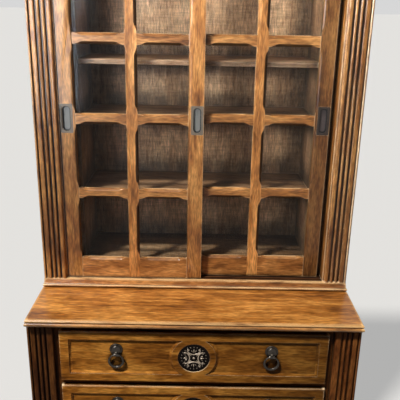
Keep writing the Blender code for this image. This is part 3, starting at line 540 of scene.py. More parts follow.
@dataclass(frozen=True)
class WindowGlass:
    """A thin clear sheet with a soft gloss and a faint film of dust."""

    name: str = "glass"
    tint: Colour = (0.97, 0.975, 0.97, 1.0)
    dust: Colour = paint(214, 208, 200)
    film: float = 0.004
    smear_scale: Triple = (14.0, 14.0, 5.0)
    gloss: float = 0.16
    refraction: float = 1.42
    roughness: float = 0.10
    # How fine, how strong and how deep the waves of the sheet are.
    wave_scale: Triple = (5.0, 5.0, 4.0)
    wave: float = 0.04
    wave_depth: float = 0.004

    def material(self, seed: int) -> Material:
        """Make the glass for one door.

        Args:
            seed: A number that moves its waves from sheet to sheet.

        Returns:
            The material.
        """
        tree = ShaderTree(f"{self.name}_{seed}")
        place = tree.moved(tree.own_place(), (seed * 1.9, 0.0, seed * 0.7))
        waves = tree.noise(place, self.wave_scale, detail=1.0)
        smears = tree.noise(place, self.smear_scale, detail=3.0)
        clear = tree.add("ShaderNodeBsdfTransparent", {"Color": self.tint})
        bump = tree.bump(waves, self.wave, self.wave_depth)
        gloss = tree.add("ShaderNodeBsdfAnisotropic", {
            "Color": WHITE, "Roughness": self.roughness, "Normal": bump})
        share = tree.times(tree.add("ShaderNodeFresnel", {"IOR": self.refraction}), self.gloss)
        sheet = tree.add("ShaderNodeMixShader", {0: share, 1: clear, 2: gloss})
        dust = tree.add("ShaderNodeBsdfDiffuse", {"Color": self.dust})
        film = tree.span(smears, 0.30, 0.75, self.film * 0.4, self.film)
        shader = tree.add("ShaderNodeMixShader", {0: film, 1: sheet, 2: dust})
        return tree.close(shader)


# Unless set otherwise, each wood is drawn darker towards the right: painted shade. Dark hollows are partly
# glaze, partly painted shade; pale edges partly wear, partly painted highlight.
HONEY = AgedWood("honey_wood", pale=paint(204, 145, 80), middle=paint(156, 100, 48), deep=paint(96, 55, 24),
                 glaze_and_shade=paint(16, 6, 2), worn_and_highlight=paint(250, 208, 156), wear_and_highlight_share=0.85, wear_and_highlight_reach=0.0055)
# The stiles carry painted shade on the chamfers that face away from the light.
STILE = replace(HONEY, name="stile_wood", painted_chamfer_shade=0.8)
# The nosings' pale bands are partly wear, partly a painted highlight along their rounded edges.
NOSING = replace(HONEY, name="nosing_wood", coat=0.8, coat_roughness=0.16, glaze_and_shade_share=0.6, wear_and_highlight_share=1.0,
                 wear_and_highlight_reach=0.012, wear_and_highlight_full=0.40, unlit_edge_share=1.0, worn_and_highlight=paint(255, 216, 158))
# The reeds' pale edges towards the light are partly wear, partly a painted highlight; their dark grooves
# partly glaze, partly painted shade.
PILASTER = replace(HONEY, name="reeded_wood", wear_and_highlight_reach=0.008, wear_and_highlight_share=1.0, glaze_and_shade_reach=0.018,
                   unlit_edge_share=0.1)
# The right pilaster's reeds carry a stronger painted highlight.
HIGHLIT_PILASTER = replace(PILASTER, name="rubbed_reeds", worn_and_highlight=paint(255, 222, 180), wear_and_highlight_full=0.38)
# The lattice is drawn paler towards the foot, painted light, with painted shade on chamfers away from the
# light and a painted highlight on its edges, partly wear.
LATTICE = replace(HONEY, name="lattice_wood", pale=paint(206, 147, 84), middle=paint(160, 104, 52),
                  deep=paint(106, 63, 28), painted_chamfer_shade=0.85, cross_shade=0.84, painted_height_shade=-0.4,
                  wear_and_highlight_reach=0.006, wear_and_highlight_share=0.95)
# The chest's wide darkening of hollows is painted shade under the top's overhang and in its recesses,
# partly glaze.
CHEST_HONEY = replace(HONEY, name="chest_wood", pale=paint(206, 142, 62), middle=paint(156, 97, 34),
                      deep=paint(96, 54, 14), specular=0.03, coat=0.06, painted_side_shade=0.0,
                      glaze_and_shade_reach=0.03, glaze_and_shade_share=0.80)
# The base pilasters' dark grooves are partly glaze, partly painted shade.
REEDED_CHEST = replace(CHEST_HONEY, name="chest_reeds", pale=paint(206, 130, 66), middle=paint(160, 92, 44),
                       deep=paint(104, 54, 24), glaze_and_shade=paint(22, 9, 4), glaze_and_shade_reach=0.02, glaze_and_shade_share=0.7)
# Drawer faces: painted shade to the right and in dark lines round the sunk fields, partly glaze; a painted
# highlight, partly wear, on edges facing up.
DRAWER_FACE = replace(CHEST_HONEY, name="drawer_face", painted_side_shade=0.65, glaze_and_shade_reach=0.022, glaze_and_shade_share=0.96,
                      wear_and_highlight_reach=0.012, wear_and_highlight_share=1.0, wear_and_highlight_full=0.42, unlit_edge_share=-0.5, left_edge_lit=0.15,
                      worn_and_highlight=paint(255, 222, 178))
# The top's pale moulded edge is partly wear, partly a painted highlight.
TOP_HONEY = AgedWood("honey_top", pale=paint(222, 154, 76), middle=paint(172, 108, 44),
                     deep=paint(104, 58, 20), glaze_and_shade=paint(52, 27, 11), worn_and_highlight=paint(250, 202, 138),
                     glaze_and_shade_share=0.3, roughness=0.34, coarse=84.0, wear_and_highlight_share=0.9, wear_and_highlight_reach=0.013,
                     wear_and_highlight_full=0.36, unlit_edge_share=1.0)
SHADED = AgedWood("shaded_wood", pale=paint(140, 84, 34), middle=paint(98, 54, 18), deep=paint(54, 26, 8),
                  glaze_and_shade=paint(10, 4, 2), worn_and_highlight=paint(206, 158, 112), glaze_and_shade_share=0.97, specular=0.03,
                  coat=0.03)
# The inner wood's wide darkening is painted shade below the shelves and in the corners, partly glaze; drawn
# paler towards the foot, painted light.
INSIDE = AgedWood("inner_wood", pale=paint(230, 188, 144), middle=paint(198, 154, 112),
                  deep=paint(146, 106, 72), glaze_and_shade=paint(22, 11, 6), worn_and_highlight=paint(190, 150, 112), coat=0.0,
                  roughness=0.5, specular=0.3, weave=0.15, glaze_and_shade_reach=0.11, glaze_and_shade_share=0.84,
                  wear_and_highlight_share=0.3, painted_height_shade=-0.18)
# The shelves' pale front edges are partly wear, partly a painted highlight; they are drawn darker towards
# the foot and in their hollows, painted shade.
SHELF = AgedWood("shelf_wood", pale=paint(226, 182, 142), middle=paint(188, 142, 102),
                 deep=paint(134, 94, 62), glaze_and_shade=paint(26, 13, 7), worn_and_highlight=paint(240, 214, 182), coat=0.0,
                 roughness=0.45, specular=0.3, glaze_and_shade_reach=0.03, glaze_and_shade_share=0.6, wear_and_highlight_share=1.0,
                 wear_and_highlight_reach=0.012, unlit_edge_share=1.0, painted_height_shade=0.2)
DRAWER = AgedWood("drawer_wood", pale=paint(214, 180, 134), middle=paint(190, 150, 102),
                  deep=paint(150, 110, 68), glaze_and_shade=paint(70, 44, 24), worn_and_highlight=paint(224, 196, 156), coat=0.0,
                  roughness=0.55, specular=0.25, glaze_and_shade_share=0.45, wear_and_highlight_share=0.3)
# The track is drawn dark: partly its waxed tone, partly painted shade beneath the rear door.
TRACK = AgedWood("track_wood", pale=paint(104, 66, 38), middle=paint(72, 42, 22), deep=paint(42, 22, 11),
                 glaze_and_shade=paint(12, 6, 3), worn_and_highlight=paint(150, 104, 66), coat=0.0, roughness=0.5)
PEWTER = AgedMetal("aged_pewter", patina=paint(66, 60, 54), rubbed=paint(196, 186, 170),
                   hollow=paint(12, 8, 6), metallic=0.8, roughness=0.32)
# The near-black along the flush pulls' slot walls is painted shadow.
FLUSH = AgedMetal("dull_pewter", patina=paint(104, 92, 78), rubbed=paint(112, 112, 108),
                  hollow=paint(8, 7, 7), metallic=0.12, roughness=0.5, hollow_reach=0.006, pitting=0.06,
                  plain=True, hollow_share=0.98, hollow_from=0.06, hollow_to=0.22)
# The right door's pull is drawn darker than the left's.
DARK_FLUSH = replace(FLUSH, name="browned_pewter", rubbed=paint(66, 56, 54), patina=paint(42, 32, 25))
# The rosette's pale tops are partly rubbing, partly a painted glint.
BRONZE = AgedMetal("dark_bronze", patina=paint(64, 46, 34), rubbed=paint(206, 186, 164),
                   hollow=paint(14, 7, 4), metallic=0.4, roughness=0.30, hollow_reach=0.007, rub_share=0.95,
                   specular=0.1)
STEEL = AgedMetal("nail_steel", patina=paint(92, 80, 70), rubbed=paint(150, 140, 130),
                  hollow=paint(30, 20, 14), metallic=0.8, roughness=0.45)
PANES = WindowGlass()


def new_object(name: str, data: bpy.types.ID) -> Piece:
    """Put a mesh, a lamp or a camera in the scene.

    Args:
        name: The object's name.
        data: What it shows.

    Returns:
        The object, at the origin.
    """
    piece = bpy.data.objects.new(name, data)
    bpy.context.scene.collection.objects.link(piece)
    return piece


def mesh_of(shell: Shell, name: str) -> Mesh:
    """Turn a finished shape into a mesh.

    Args:
        shell: The shape.
        name: The mesh's name.

    Returns:
        The mesh.
    """
    mesh = bpy.data.meshes.new(name)
    shell.to_mesh(mesh)
    shell.free()
    return mesh


def settle(piece: Piece) -> Piece:
    """Turn an object's modifiers into plain mesh.

    Args:
        piece: The object, at the origin.

    Returns:
        The same object, with no modifiers left.
    """
    depsgraph = bpy.context.evaluated_depsgraph_get()
    mesh = bpy.data.meshes.new_from_object(piece.evaluated_get(depsgraph), preserve_all_data_layers=True,
                                           depsgraph=depsgraph)
    mesh.name = piece.name
    piece.modifiers.clear()
    piece.data = mesh
    return piece


def finish_in(mesh: Mesh, material: Material) -> None:
    """Give a mesh one material and no other."""
    mesh.materials.clear()
    mesh.materials.append(material)


def smooth_below(mesh: Mesh, degrees: float) -> None:
    """Shade a mesh smooth, with sharp edges from an angle between faces on."""
    mesh.shade_smooth()
    mesh.set_sharp_from_angle(angle=math.radians(degrees))


def body_of_node(node: str) -> str:
    """Find the body that carries a CAD node.

    Args:
        node: The node's name.

    Returns:
        The body's name.
    """
    holder = frame["nodes"][node].parent
    while holder is not None and not holder.name.startswith("body:"):
        holder = holder.parent
    return holder.name.split(":", 1)[1] if holder is not None else "case"


def middle_of(node: str) -> Vector:
    """Return the middle of a node's box."""
    low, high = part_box(node)
    return (Vector(low) + Vector(high)) / 2


def hand_over(piece: Piece, node: str) -> None:
    """Let a finished piece stand for a CAD node, on that node's body.

    Args:
        piece: The finished piece.
        node: The node that it stands for.
    """
    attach(piece, body_of_node(node))
    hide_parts(node)
    LOG.info("%s stands for %s, %d faces", piece.name, node, len(piece.data.polygons))


@dataclass
class Dresser:
    """Gives CAD nodes their finish, on a smoothed copy where they have curves or sharp edges."""

    seed: int = 3
    seed_step: int = 4
    weld: float = 1e-5
    flatness: float = 0.4
    bevel_angle: float = 38.0

    def next_seed(self) -> int:
        """Return a number that no piece has had."""
        self.seed += self.seed_step
        return self.seed

    def coat(self, node: str, material: Material) -> None:
        """Finish a CAD node as it is."""
        finish_in(frame["nodes"][node].data, material)
        LOG.info("coated %s", node)

    def coat_wood(self, node: str, wood: AgedWood, grain: Grain, shade: float = 1.0,
                  overlay: Overlay | None = None) -> None:
        """Finish a CAD node in wood as it is."""
        self.coat(node, wood.material(grain, self.next_seed(), overlay=overlay, shade=shade))

    def dress(self, node: str, material: Material, slot: str, ease: float = 0.0,
              angle: float = 32.0) -> None:
        """Finish a smoothed copy of a CAD node and let it stand for the node.

        Args:
            node: The node's name.
            material: Its finish.
            slot: The record's material slot; not used.
            ease: How far its sharp edges are rounded, or zero.
            angle: The angle between faces, in degrees, from which an edge stays sharp.
        """
        shell = bmesh.new()
        shell.from_mesh(frame["nodes"][node].data)
        bmesh.ops.remove_doubles(shell, verts=shell.verts, dist=self.weld)
        bmesh.ops.dissolve_limit(shell, angle_limit=math.radians(self.flatness), verts=shell.verts,
                                 edges=shell.edges)
        piece = new_object(f"{node}_dressed", mesh_of(shell, f"{node}_dressed"))
        finish_in(piece.data, material)
        smooth_below(piece.data, angle)
        if ease:
            bevel = piece.modifiers.new("ease", "BEVEL")
            bevel.width = ease
            bevel.segments = 2
            bevel.limit_method = "ANGLE"
            bevel.angle_limit = math.radians(self.bevel_angle)
            bevel.harden_normals = True
        piece.modifiers.new("even", "WEIGHTED_NORMAL").keep_sharp = True
        hand_over(settle(piece), node)

    def dress_wood(self, node: str, wood: AgedWood, grain: Grain, ease: float = 0.0, shade: float = 1.0,
                   angle: float = 32.0, upright: float | None = None, slot: str = "honey_wood") -> None:
        """Finish a smoothed copy of a CAD node in wood."""
        self.dress(node, wood.material(grain, self.next_seed(), upright, shade=shade), slot, ease, angle)


@dataclass
class Fitting:
    """Something on the cabinet that a dresser finishes."""

    dresser: Dresser


@dataclass
class ChestCase(Fitting):
    """The chest's case: its top, sides, pilasters, rails, plinth and back."""

    ease: float = 0.0009
    # How dark the base pilasters are drawn, left and right: partly their own tone, partly painted shade
    # under the top's overhang.
    pilaster_shades: Pair = (0.26, 0.52)
    rails: tuple[str, ...] = ("base_top_rail", "drawer_divider_1", "drawer_divider_2")

    def build(self) -> None:
        """Dress every fixed piece of the chest."""
        self.dresser.dress_wood("base_top", TOP_HONEY, Grain.WIDE)
        for side, shade in zip(SIDES, self.pilaster_shades):
            self.dresser.dress_wood(f"base_side_{side}", CHEST_HONEY, Grain.TALL, self.ease)
            self.dresser.dress_wood(f"base_pilaster_{side}", REEDED_CHEST, Grain.TALL, shade=shade)
            self.dresser.coat_wood(f"base_lining_{side}", SHADED, Grain.TALL)
        for name in self.rails:
            self.dresser.dress_wood(name, SHADED, Grain.WIDE, self.ease)
        self.dresser.dress_wood("plinth", CHEST_HONEY, Grain.WIDE)
        self.dresser.coat_wood("base_bottom", SHADED, Grain.WIDE)
        self.dresser.coat_wood("base_back", INSIDE, Grain.TALL)


@dataclass
class HutchCase(Fitting):
    """The glazed upper case: waist, pilasters, cornice, linings, back and shelves."""

    ease: float = 0.0009
    shelves: tuple[str, ...] = ("shelf_lower", "shelf_middle", "shelf_upper")
    reeds: tuple[AgedWood, AgedWood] = (PILASTER, HIGHLIT_PILASTER)
    # Painted shade on the left lining, the hutch floor and the shelves, and painted light on the nosings.
    lining_painted_shades: Pair = (0.6, 1.0)
    floor_painted_shade: float = 0.45
    shelf_painted_shade: float = 0.7
    nosing_painted_light: float = 1.25

    def build(self) -> None:
        """Dress every fixed piece of the upper case."""
        for name in ("waist_board", "cornice"):
            self.dresser.dress_wood(name, NOSING, Grain.WIDE, shade=self.nosing_painted_light)
        self.dresser.dress_wood("hutch_top", HONEY, Grain.WIDE, self.ease)
        for side, shade, reeds in zip(SIDES, self.lining_painted_shades, self.reeds):
            self.dresser.dress_wood(f"hutch_side_{side}", HONEY, Grain.TALL, self.ease)
            self.dresser.dress_wood(f"hutch_pilaster_{side}", reeds, Grain.TALL)
            self.dresser.coat_wood(f"hutch_lining_{side}", INSIDE, Grain.TALL, shade)
        self.dresser.coat_wood("hutch_back", INSIDE, Grain.TALL)
        self.dresser.coat_wood("hutch_floor", INSIDE, Grain.WIDE, self.floor_painted_shade)
        self.dresser.coat_wood("lower_track", TRACK, Grain.WIDE)
        for name in self.shelves:
            self.dresser.dress_wood(name, SHELF, Grain.WIDE, self.ease, self.shelf_painted_shade, slot="inner_wood")


@dataclass
class SlidingDoor(Fitting):
    """One glazed door with its lattice, panes and flush pulls."""

    side: str
    pulls: tuple[str, ...]
    # How pale the stiles are drawn: partly the wood's own tone, partly painted light and shade, darkest on
    # the right door.
    outer_shade: float = 1.0
    inner_shade: float = 1.0
    pull_metal: AgedMetal = FLUSH
    # The depths behind a pull's face between which it turns from patina to the colour of its floor.
    pull_relief: Pair = (0.001, 0.005)

    def build(self) -> None:
        """Dress the door."""
        door = f"door_{self.side}"
        for place, shade in (("outer", self.outer_shade), ("inner", self.inner_shade)):
            self.dresser.dress_wood(f"{door}_{place}_stile", STILE, Grain.TALL, shade=shade)
        self.dresser.dress_wood(f"{door}_lattice", LATTICE, Grain.WIDE, angle=24.0,
                                upright=middle_of(f"{door}_lattice").x)
        self.dresser.coat(f"{door}_glass", PANES.material(self.dresser.next_seed()))
        for name in self.pulls:
            pull = f"flush_pull_{self.side}_{name}"
            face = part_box(pull)[0][1]
            near, far = self.pull_relief
            finish = self.pull_metal.material(self.dresser.next_seed(), (face + near, face + far))
            self.dresser.dress(pull, finish, "aged_pewter")


class ShapeTree(NodeTree):
    """A Geometry Nodes tree that turns a mesh into a finished piece."""

    def __init__(self, name: str) -> None:
        """Start a tree with one geometry in and one out.

        Args:
            name: The tree's name.
        """
        self.tree = bpy.data.node_groups.new(name, "GeometryNodeTree")
        self.tree.is_modifier = True
        super().__init__(self.tree)
        for way in ("INPUT", "OUTPUT"):
            self.tree.interface.new_socket(name="Geometry", in_out=way, socket_type="NodeSocketGeometry")
        self.given = self.add("NodeGroupInput", {})

    def run(self, name: str, mesh: Mesh, parts: Sequence[Socket], finish: Material) -> Piece:
        """Join what the tree makes of a mesh and keep it as plain mesh.

        Args:
            name: The new object's name.
            mesh: What goes in.
            parts: The geometry that the tree makes.
            finish: The material of the result.

        Returns:
            The finished object, at the origin.
        """
        join = self.node("GeometryNodeJoinGeometry", {})
        for part in parts:
            self.links.new(part, join.inputs[0])
        real = self.add("GeometryNodeRealizeInstances", {0: join.outputs[0]})
        self.node("NodeGroupOutput", {0: self.add("GeometryNodeSetShadeSmooth", {0: real})})
        piece = new_object(name, mesh)
        piece.modifiers.new("build", "NODES").node_group = self.tree
        settle(piece)
        finish_in(piece.data, finish)
        return piece


def oval(shell: Shell, middle: Vector, first: Vector, second: Vector, count: int) -> list[Corner]:
    """Lay corners on an oval.

    Args:
        shell: What they are added to.
        middle: The oval's middle.
        first: One of its half axes.
        second: The other.
        count: How many corners it has.

    Returns:
        The corners, in order.
    """
    turns = [FULL_TURN * step / count for step in range(count)]
    return [shell.verts.new(middle + first * math.cos(turn) + second * math.sin(turn)) for turn in turns]


def skin(shell: Shell, rings: Sequence[Sequence[Corner]]) -> None:
    """Join each ring of corners to the next.

    Args:
        shell: What the faces are added to.
        rings: The rings, with the same number of corners each, or one corner for a tip.
    """
    for near, far in zip(rings, rings[1:]):
        for step, corner in enumerate(near):
            after = (step + 1) % len(near)
            ahead = (far[after], far[step]) if len(far) > 1 else (far[0],)
            shell.faces.new((corner, near[after], *ahead))


def tube(shell: Shell, points: Sequence[Vector], halves: Sequence[Pair], normal: Vector,
         sides: int) -> None:
    """Add a closed oval bar along a path that lies in one plane.

    Args:
        shell: What the bar is added to.
        points: The path.
        halves: Half the bar's width in the plane, and half its depth out of it, at each point.
        normal: The direction out of the plane.
        sides: How many sides the bar has.
    """
    rings = []
    for index, (point, (wide, deep)) in enumerate(zip(points, halves)):
        ahead = points[min(index + 1, len(points) - 1)] - points[max(index - 1, 0)]
        across = normal.cross(ahead).normalized()
        rings.append(oval(shell, point, across * wide, normal * deep, sides))
    skin(shell, rings)
    shell.faces.new(rings[0])
    shell.faces.new(rings[-1])


def lathe(profile: Sequence[Pair], steps: int) -> Shell:
    """Turn a closed round shape that faces the front.

    Args:
        profile: Its outline as radius and Y, from the back's rim to the middle of the front.
        steps: How many faces it has around.

    Returns:
        The shape, with its middle at the origin.
    """
    shell = bmesh.new()
    rings = []
    for radius, depth in profile:
        count = steps if radius else 1
        rings.append(oval(shell, FRONT * depth, SIDEWAYS * radius, Vector((0.0, 0.0, radius)), count))
    skin(shell, rings)
    shell.faces.new(rings[0])
    bmesh.ops.recalc_face_normals(shell, faces=shell.faces)
    return shell


@dataclass(frozen=True)
class Leaf:
    """A carved leaf, pointed at both ends, and its mirror image where its foot is off the axis."""

    # The foot and the tip, as X and Z before the leaf's axis is turned.
    foot: Pair
    tip: Pair
    half_width: float
    bow: float = 0.0
    rise: float = 0.0
    turn: float = 0.0
    steps: int = 8
    blunt: float = 0.12
    roundness: float = 1.15

    def carve(self, shell: Shell, lift: float) -> None:
        """Add the leaf to a carving.

        Args:
            shell: The carving.
            lift: How far towards the front the carving lies.
        """
        turned = Matrix.Rotation(math.radians(self.turn), 3, "Y")
        sides = (-1, 1) if self.foot[0] else (1,)
        for side in sides:
            foot, tip = (turned @ Vector((side * x, -lift - self.rise, z))
                         for x, z in (self.foot, self.tip))
            aside = FRONT.cross(tip - foot).normalized() * (self.bow * side)
            points = []
            halves = []
            for step in range(self.steps + 1):
                swell = math.sin(math.pi * step / self.steps)
                width = self.half_width * max(swell ** 0.8 if 0 < step < self.steps else 0.0, self.blunt)
                points.append(foot.lerp(tip, step / self.steps) + aside * swell)
                halves.append((width, width * self.roundness))
            tube(shell, points, halves, FRONT, sides=8)


@dataclass
class Rosette(Fitting):
    """A pierced scroll rosette in its round socket: four C scrolls, leaves between, a ring of beads."""

    number: int
    sectors: int = 4
    bead_count: int = 24
    bead_radius: float = 0.0027
    bead_ring: float = 0.0412
    bead_lift: float = 0.0020
    scroll_radius: float = 0.0245
    scroll_place: float = 0.0385
    scroll_turn: float = 62.0
    scroll_steps: int = 9
    curl_radius: float = 0.0044
    curl_turn: float = 270.0
    curl_steps: int = 14
    # How much tighter and how much thinner a curl is at its end, as shares.
    curl_closing: float = 0.58
    curl_thinning: float = 0.30
    curl_bead: float = 0.0017
    curl_bead_rise: float = 0.0012
    bar: float = 0.0021
    lift: float = 0.0026
    # The depths in front of the socket's floor between which the metal turns from dark to pale: rubbing,
    # with a painted glint on the highest tops.
    relief: Pair = (0.0034, 0.0056)
    leaves: tuple[Leaf, ...] = (
        Leaf(foot=(0.0016, 0.0200), tip=(0.0094, 0.0335), half_width=0.0020, bow=0.0012),
        Leaf(foot=(0.0010, 0.0130), tip=(0.0052, 0.0262), half_width=0.0016, bow=-0.0008, turn=45.0),
        Leaf(foot=(0.0, 0.0185), tip=(0.0, 0.0368), half_width=0.0023, rise=0.0003),
        Leaf(foot=(0.0, 0.0075), tip=(0.0, 0.0345), half_width=0.0023, rise=0.0003, turn=45.0))
    boss: tuple[Pair, ...] = (
        (0.0064, -0.0008), (0.0064, -0.0026), (0.0058, -0.0036), (0.0044, -0.0038), (0.0040, -0.0034),
        (0.0030, -0.0048), (0.0015, -0.0055), (0.0, -0.0057))

    def disc(self, radius: float, thickness: float) -> Shell:
        """Turn the dished disc behind the carving.

        Args:
            radius: Its radius.
            thickness: How thick the rosette is in all.

        Returns:
            The disc, its back at Y zero.
        """
        rim = thickness * 0.42
        floor = thickness * 0.20
        return lathe([(radius, 0.0), (radius, -rim * 0.7), (radius - 0.0006, -rim), (radius - 0.0018, -rim),
                      (radius - 0.0030, -rim * 0.65), (radius - 0.0052, -floor), (radius * 0.5, -floor),
                      (0.0, -floor)], steps=72)

    def curls(self, shell: Shell) -> None:
        """Roll both ends of the scroll into a curl with a bead in it.

        Args:
            shell: The carving.
        """
        first = math.radians(self.scroll_turn - 90)
        middle = Vector((math.cos(first), 0.0, math.sin(first))) * (self.scroll_radius - self.curl_radius)
        middle += Vector((0.0, -self.lift, self.scroll_place))
        for side in (-1, 1):
            points = []
            halves = []
            for step in range(self.curl_steps + 1):
                share = step / self.curl_steps
                turn = first + math.radians(self.curl_turn * share)
                reach = self.curl_radius * (1 - self.curl_closing * share)
                points.append(Vector((side * (middle.x + reach * math.cos(turn)), middle.y,
                                      middle.z + reach * math.sin(turn))))
                thin = self.bar * (0.98 - self.curl_thinning * share)
                halves.append((thin, thin * 1.2))
            tube(shell, points, halves, FRONT, sides=8)
            place = Matrix.Translation((side * middle.x, middle.y - self.curl_bead_rise, middle.z))
            bmesh.ops.create_uvsphere(shell, u_segments=10, v_segments=7, radius=self.curl_bead,
                                      matrix=place)

    def quarter(self) -> Mesh:
        """Carve one quarter: a C scroll with a trefoil inside it, and the leaves beside it.

        Returns:
            The quarter's mesh, its scroll straight above the middle.
        """
        shell = bmesh.new()
        points = []
        halves = []
        for step in range(-self.scroll_steps, self.scroll_steps + 1):
            turn = math.radians(self.scroll_turn * step / self.scroll_steps)
            points.append(Vector((self.scroll_radius * math.sin(turn), -self.lift,
                                  self.scroll_place - self.scroll_radius * math.cos(turn))))
            wide = self.bar * (0.90 + 0.25 * math.cos(turn))
            halves.append((wide, wide * 1.15))
        tube(shell, points, halves, FRONT, sides=10)
        self.curls(shell)
        for leaf in self.leaves:
            leaf.carve(shell, self.lift)
        bmesh.ops.recalc_face_normals(shell, faces=shell.faces)
        return mesh_of(shell, "rosette_quarter")

    def carving(self, name: str, finish: Material) -> Piece:
        """Repeat the quarter round the middle and set the beads round it.

        Args:
            name: The carving's name.
            finish: Its metal.

        Returns:
            The carving, its middle at the origin.
        """
        nodes = ShapeTree(f"{name}_tree")
        index = nodes.add("GeometryNodeInputIndex", {})
        spin = nodes.vector({1: nodes.times(index, FULL_TURN / self.sectors)})
        quarters = nodes.add("GeometryNodeInstanceOnPoints", {
            "Points": nodes.add("GeometryNodePoints", {"Count": self.sectors}), "Instance": nodes.given,
            "Rotation": nodes.add("FunctionNodeEulerToRotation", {0: spin})})
        angle = nodes.times(index, FULL_TURN / self.bead_count)
        across, up = (nodes.times(nodes.calc(way, angle), self.bead_ring) for way in ("COSINE", "SINE"))
        place = nodes.vector({0: across, 1: -self.bead_lift, 2: up})
        beads = nodes.add("GeometryNodeInstanceOnPoints", {
            "Points": nodes.add("GeometryNodePoints", {"Count": self.bead_count, "Position": place}),
            "Instance": nodes.add("GeometryNodeMeshIcoSphere", {
                "Radius": self.bead_radius, "Subdivisions": 2})})
        return nodes.run(name, self.quarter(), (quarters, beads), finish)

    def build(self) -> None:
        """Make the rosette in its drawer's front."""
        node = f"drawer_{self.number}_rosette"
        low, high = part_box(node)
        finish = BRONZE.material(self.dresser.next_seed(), tuple(high[1] - depth for depth in self.relief))
        piece = self.carving(f"{node}_carved", finish)
        whole = bmesh.new()
        whole.from_mesh(piece.data)
        for part in (self.disc((high[0] - low[0]) / 2, high[1] - low[1]), lathe(self.boss, steps=24)):
            whole.from_mesh(mesh_of(part, "part"))
        whole.to_mesh(piece.data)
        whole.free()
        smooth_below(piece.data, degrees=50.0)
        middle = middle_of(node)
        piece.data.transform(Matrix.Translation((middle.x, high[1], middle.z)))
        hand_over(piece, node)


@dataclass
class RingPull(Fitting):
    """A domed rose with a bored knuckle, and the drop ring that swings in it."""

    number: int
    side: str
    dome: float = 0.0165
    wire: float = 0.0026
    stout: float = 0.0044
    rim: float = 0.0210
    # The rim and the dome, as radius and Y. The dome's radii are shares of its own.
    rim_steps: tuple[Pair, ...] = ((0.0, 0.0), (0.0, -0.0010), (0.0004, -0.0019), (0.0014, -0.0023),
                                   (0.0026, -0.0019))
    dome_steps: tuple[Pair, ...] = ((1.0, -0.0021), (0.985, -0.0036), (0.92, -0.0055), (0.80, -0.0072),
                                    (0.62, -0.0084), (0.40, -0.0091), (0.18, -0.0095), (0.0, -0.0096))
    # The quirk between them: how far it lies outside the dome, and its Y.
    quirk: Pair = (0.0012, -0.0016)
    # Half the knuckle's length, then a share of it with the outer and the bored radius there.
    knuckle_half: float = 0.0075
    knuckle_steps: tuple[Triple, ...] = (
        (1.0, 0.0050, 0.0041), (0.8, 0.0055, 0.0037), (0.4, 0.0058, 0.0034))
    # Half the neck's depth and half its width, from the dome to the knuckle. Its path starts at two
    # places on the dome, as Y and as a share of the radius below its middle, and ends behind the bore.
    neck: tuple[Pair, ...] = ((0.0040, 0.0052), (0.0030, 0.0044), (0.0022, 0.0040))
    neck_path: tuple[Pair, ...] = ((-0.0050, 0.35), (-0.0068, 0.62))
    neck_end: Triple = (0.0, 0.0012, 0.0047)

    def knuckle(self, shell: Shell, hinge: Vector) -> None:
        """Add the bored knuckle.

        Args:
            shell: The rose.
            hinge: The middle of its bore.
        """
        steps = [(-share, *radii) for share, *radii in self.knuckle_steps]
        steps += [(share, *radii) for share, *radii in reversed(self.knuckle_steps)]
        walls = []
        for wall in (1, 2):
            walls.append([oval(shell, hinge + SIDEWAYS * (step[0] * self.knuckle_half), FRONT * step[wall],
                               Vector((0.0, 0.0, step[wall])), count=24) for step in steps])
        outer, inner = walls
        skin(shell, outer + inner[::-1] + outer[:1])

    def rose(self) -> None:
        """Cast the rose with its stepped rim, dome, neck and knuckle."""
        node = f"drawer_{self.number}_rose_{self.side}"
        low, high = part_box(node)
        ring_low, ring_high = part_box(f"drawer_{self.number}_ring_{self.side}")
        middle = Vector(((low[0] + high[0]) / 2, high[1], high[2] - self.rim))
        profile = [(self.rim - inset, depth) for inset, depth in self.rim_steps]
        profile.append((self.dome + self.quirk[0], self.quirk[1]))
        profile += [(self.dome * share, depth) for share, depth in self.dome_steps]
        shell = lathe(profile, steps=48)
        rise = ring_high[2] - self.wire - middle.z
        hinge = Vector((0.0, (ring_low[1] + ring_high[1]) / 2 - middle.y, rise))
        self.knuckle(shell, hinge)
        path = [Vector((0.0, depth, -self.dome * share)) for depth, share in self.neck_path]
        path.append(hinge + Vector(self.neck_end))
        tube(shell, path, self.neck, SIDEWAYS, sides=12)
        bmesh.ops.recalc_face_normals(shell, faces=shell.faces)
        mesh = mesh_of(shell, f"{node}_cast")
        mesh.transform(Matrix.Translation(middle))
        finish_in(mesh, PEWTER.material(self.dresser.next_seed()))
        smooth_below(mesh, degrees=48.0)
        hand_over(new_object(f"{node}_cast", mesh), node)

    def ring(self) -> None:
        """Bend the drop ring, which grows stouter towards the bottom."""
        node = f"drawer_{self.number}_ring_{self.side}"
        low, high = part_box(node)
        radius = (high[0] - low[0]) / 2 - self.wire
        nodes = ShapeTree(f"{node}_tree")
        circle = nodes.add("GeometryNodeCurvePrimitiveCircle", {"Resolution": 56, "Radius": radius})
        upright = nodes.add("GeometryNodeTransform", {"Geometry": circle, "Rotation": LYING})
        height = nodes.axes(nodes.add("GeometryNodeInputPosition", {}))[2]
        grow = nodes.span(height, radius * 0.85, radius * -0.55, self.wire, self.stout)
        section = nodes.add("GeometryNodeCurvePrimitiveCircle", {"Resolution": 14, "Radius": 1.0})
        inputs = {"Curve": upright, "Profile Curve": section, "Scale": grow}
        bar = nodes.add("GeometryNodeCurveToMesh", inputs)
        piece = nodes.run(f"{node}_bent", bpy.data.meshes.new(f"{node}_start"), (bar,),
                          PEWTER.material(self.dresser.next_seed()))
        centre = Vector(((low[0] + high[0]) / 2, (low[1] + high[1]) / 2, high[2] - self.wire - radius))
        piece.data.transform(Matrix.Translation(centre))
        hand_over(piece, node)


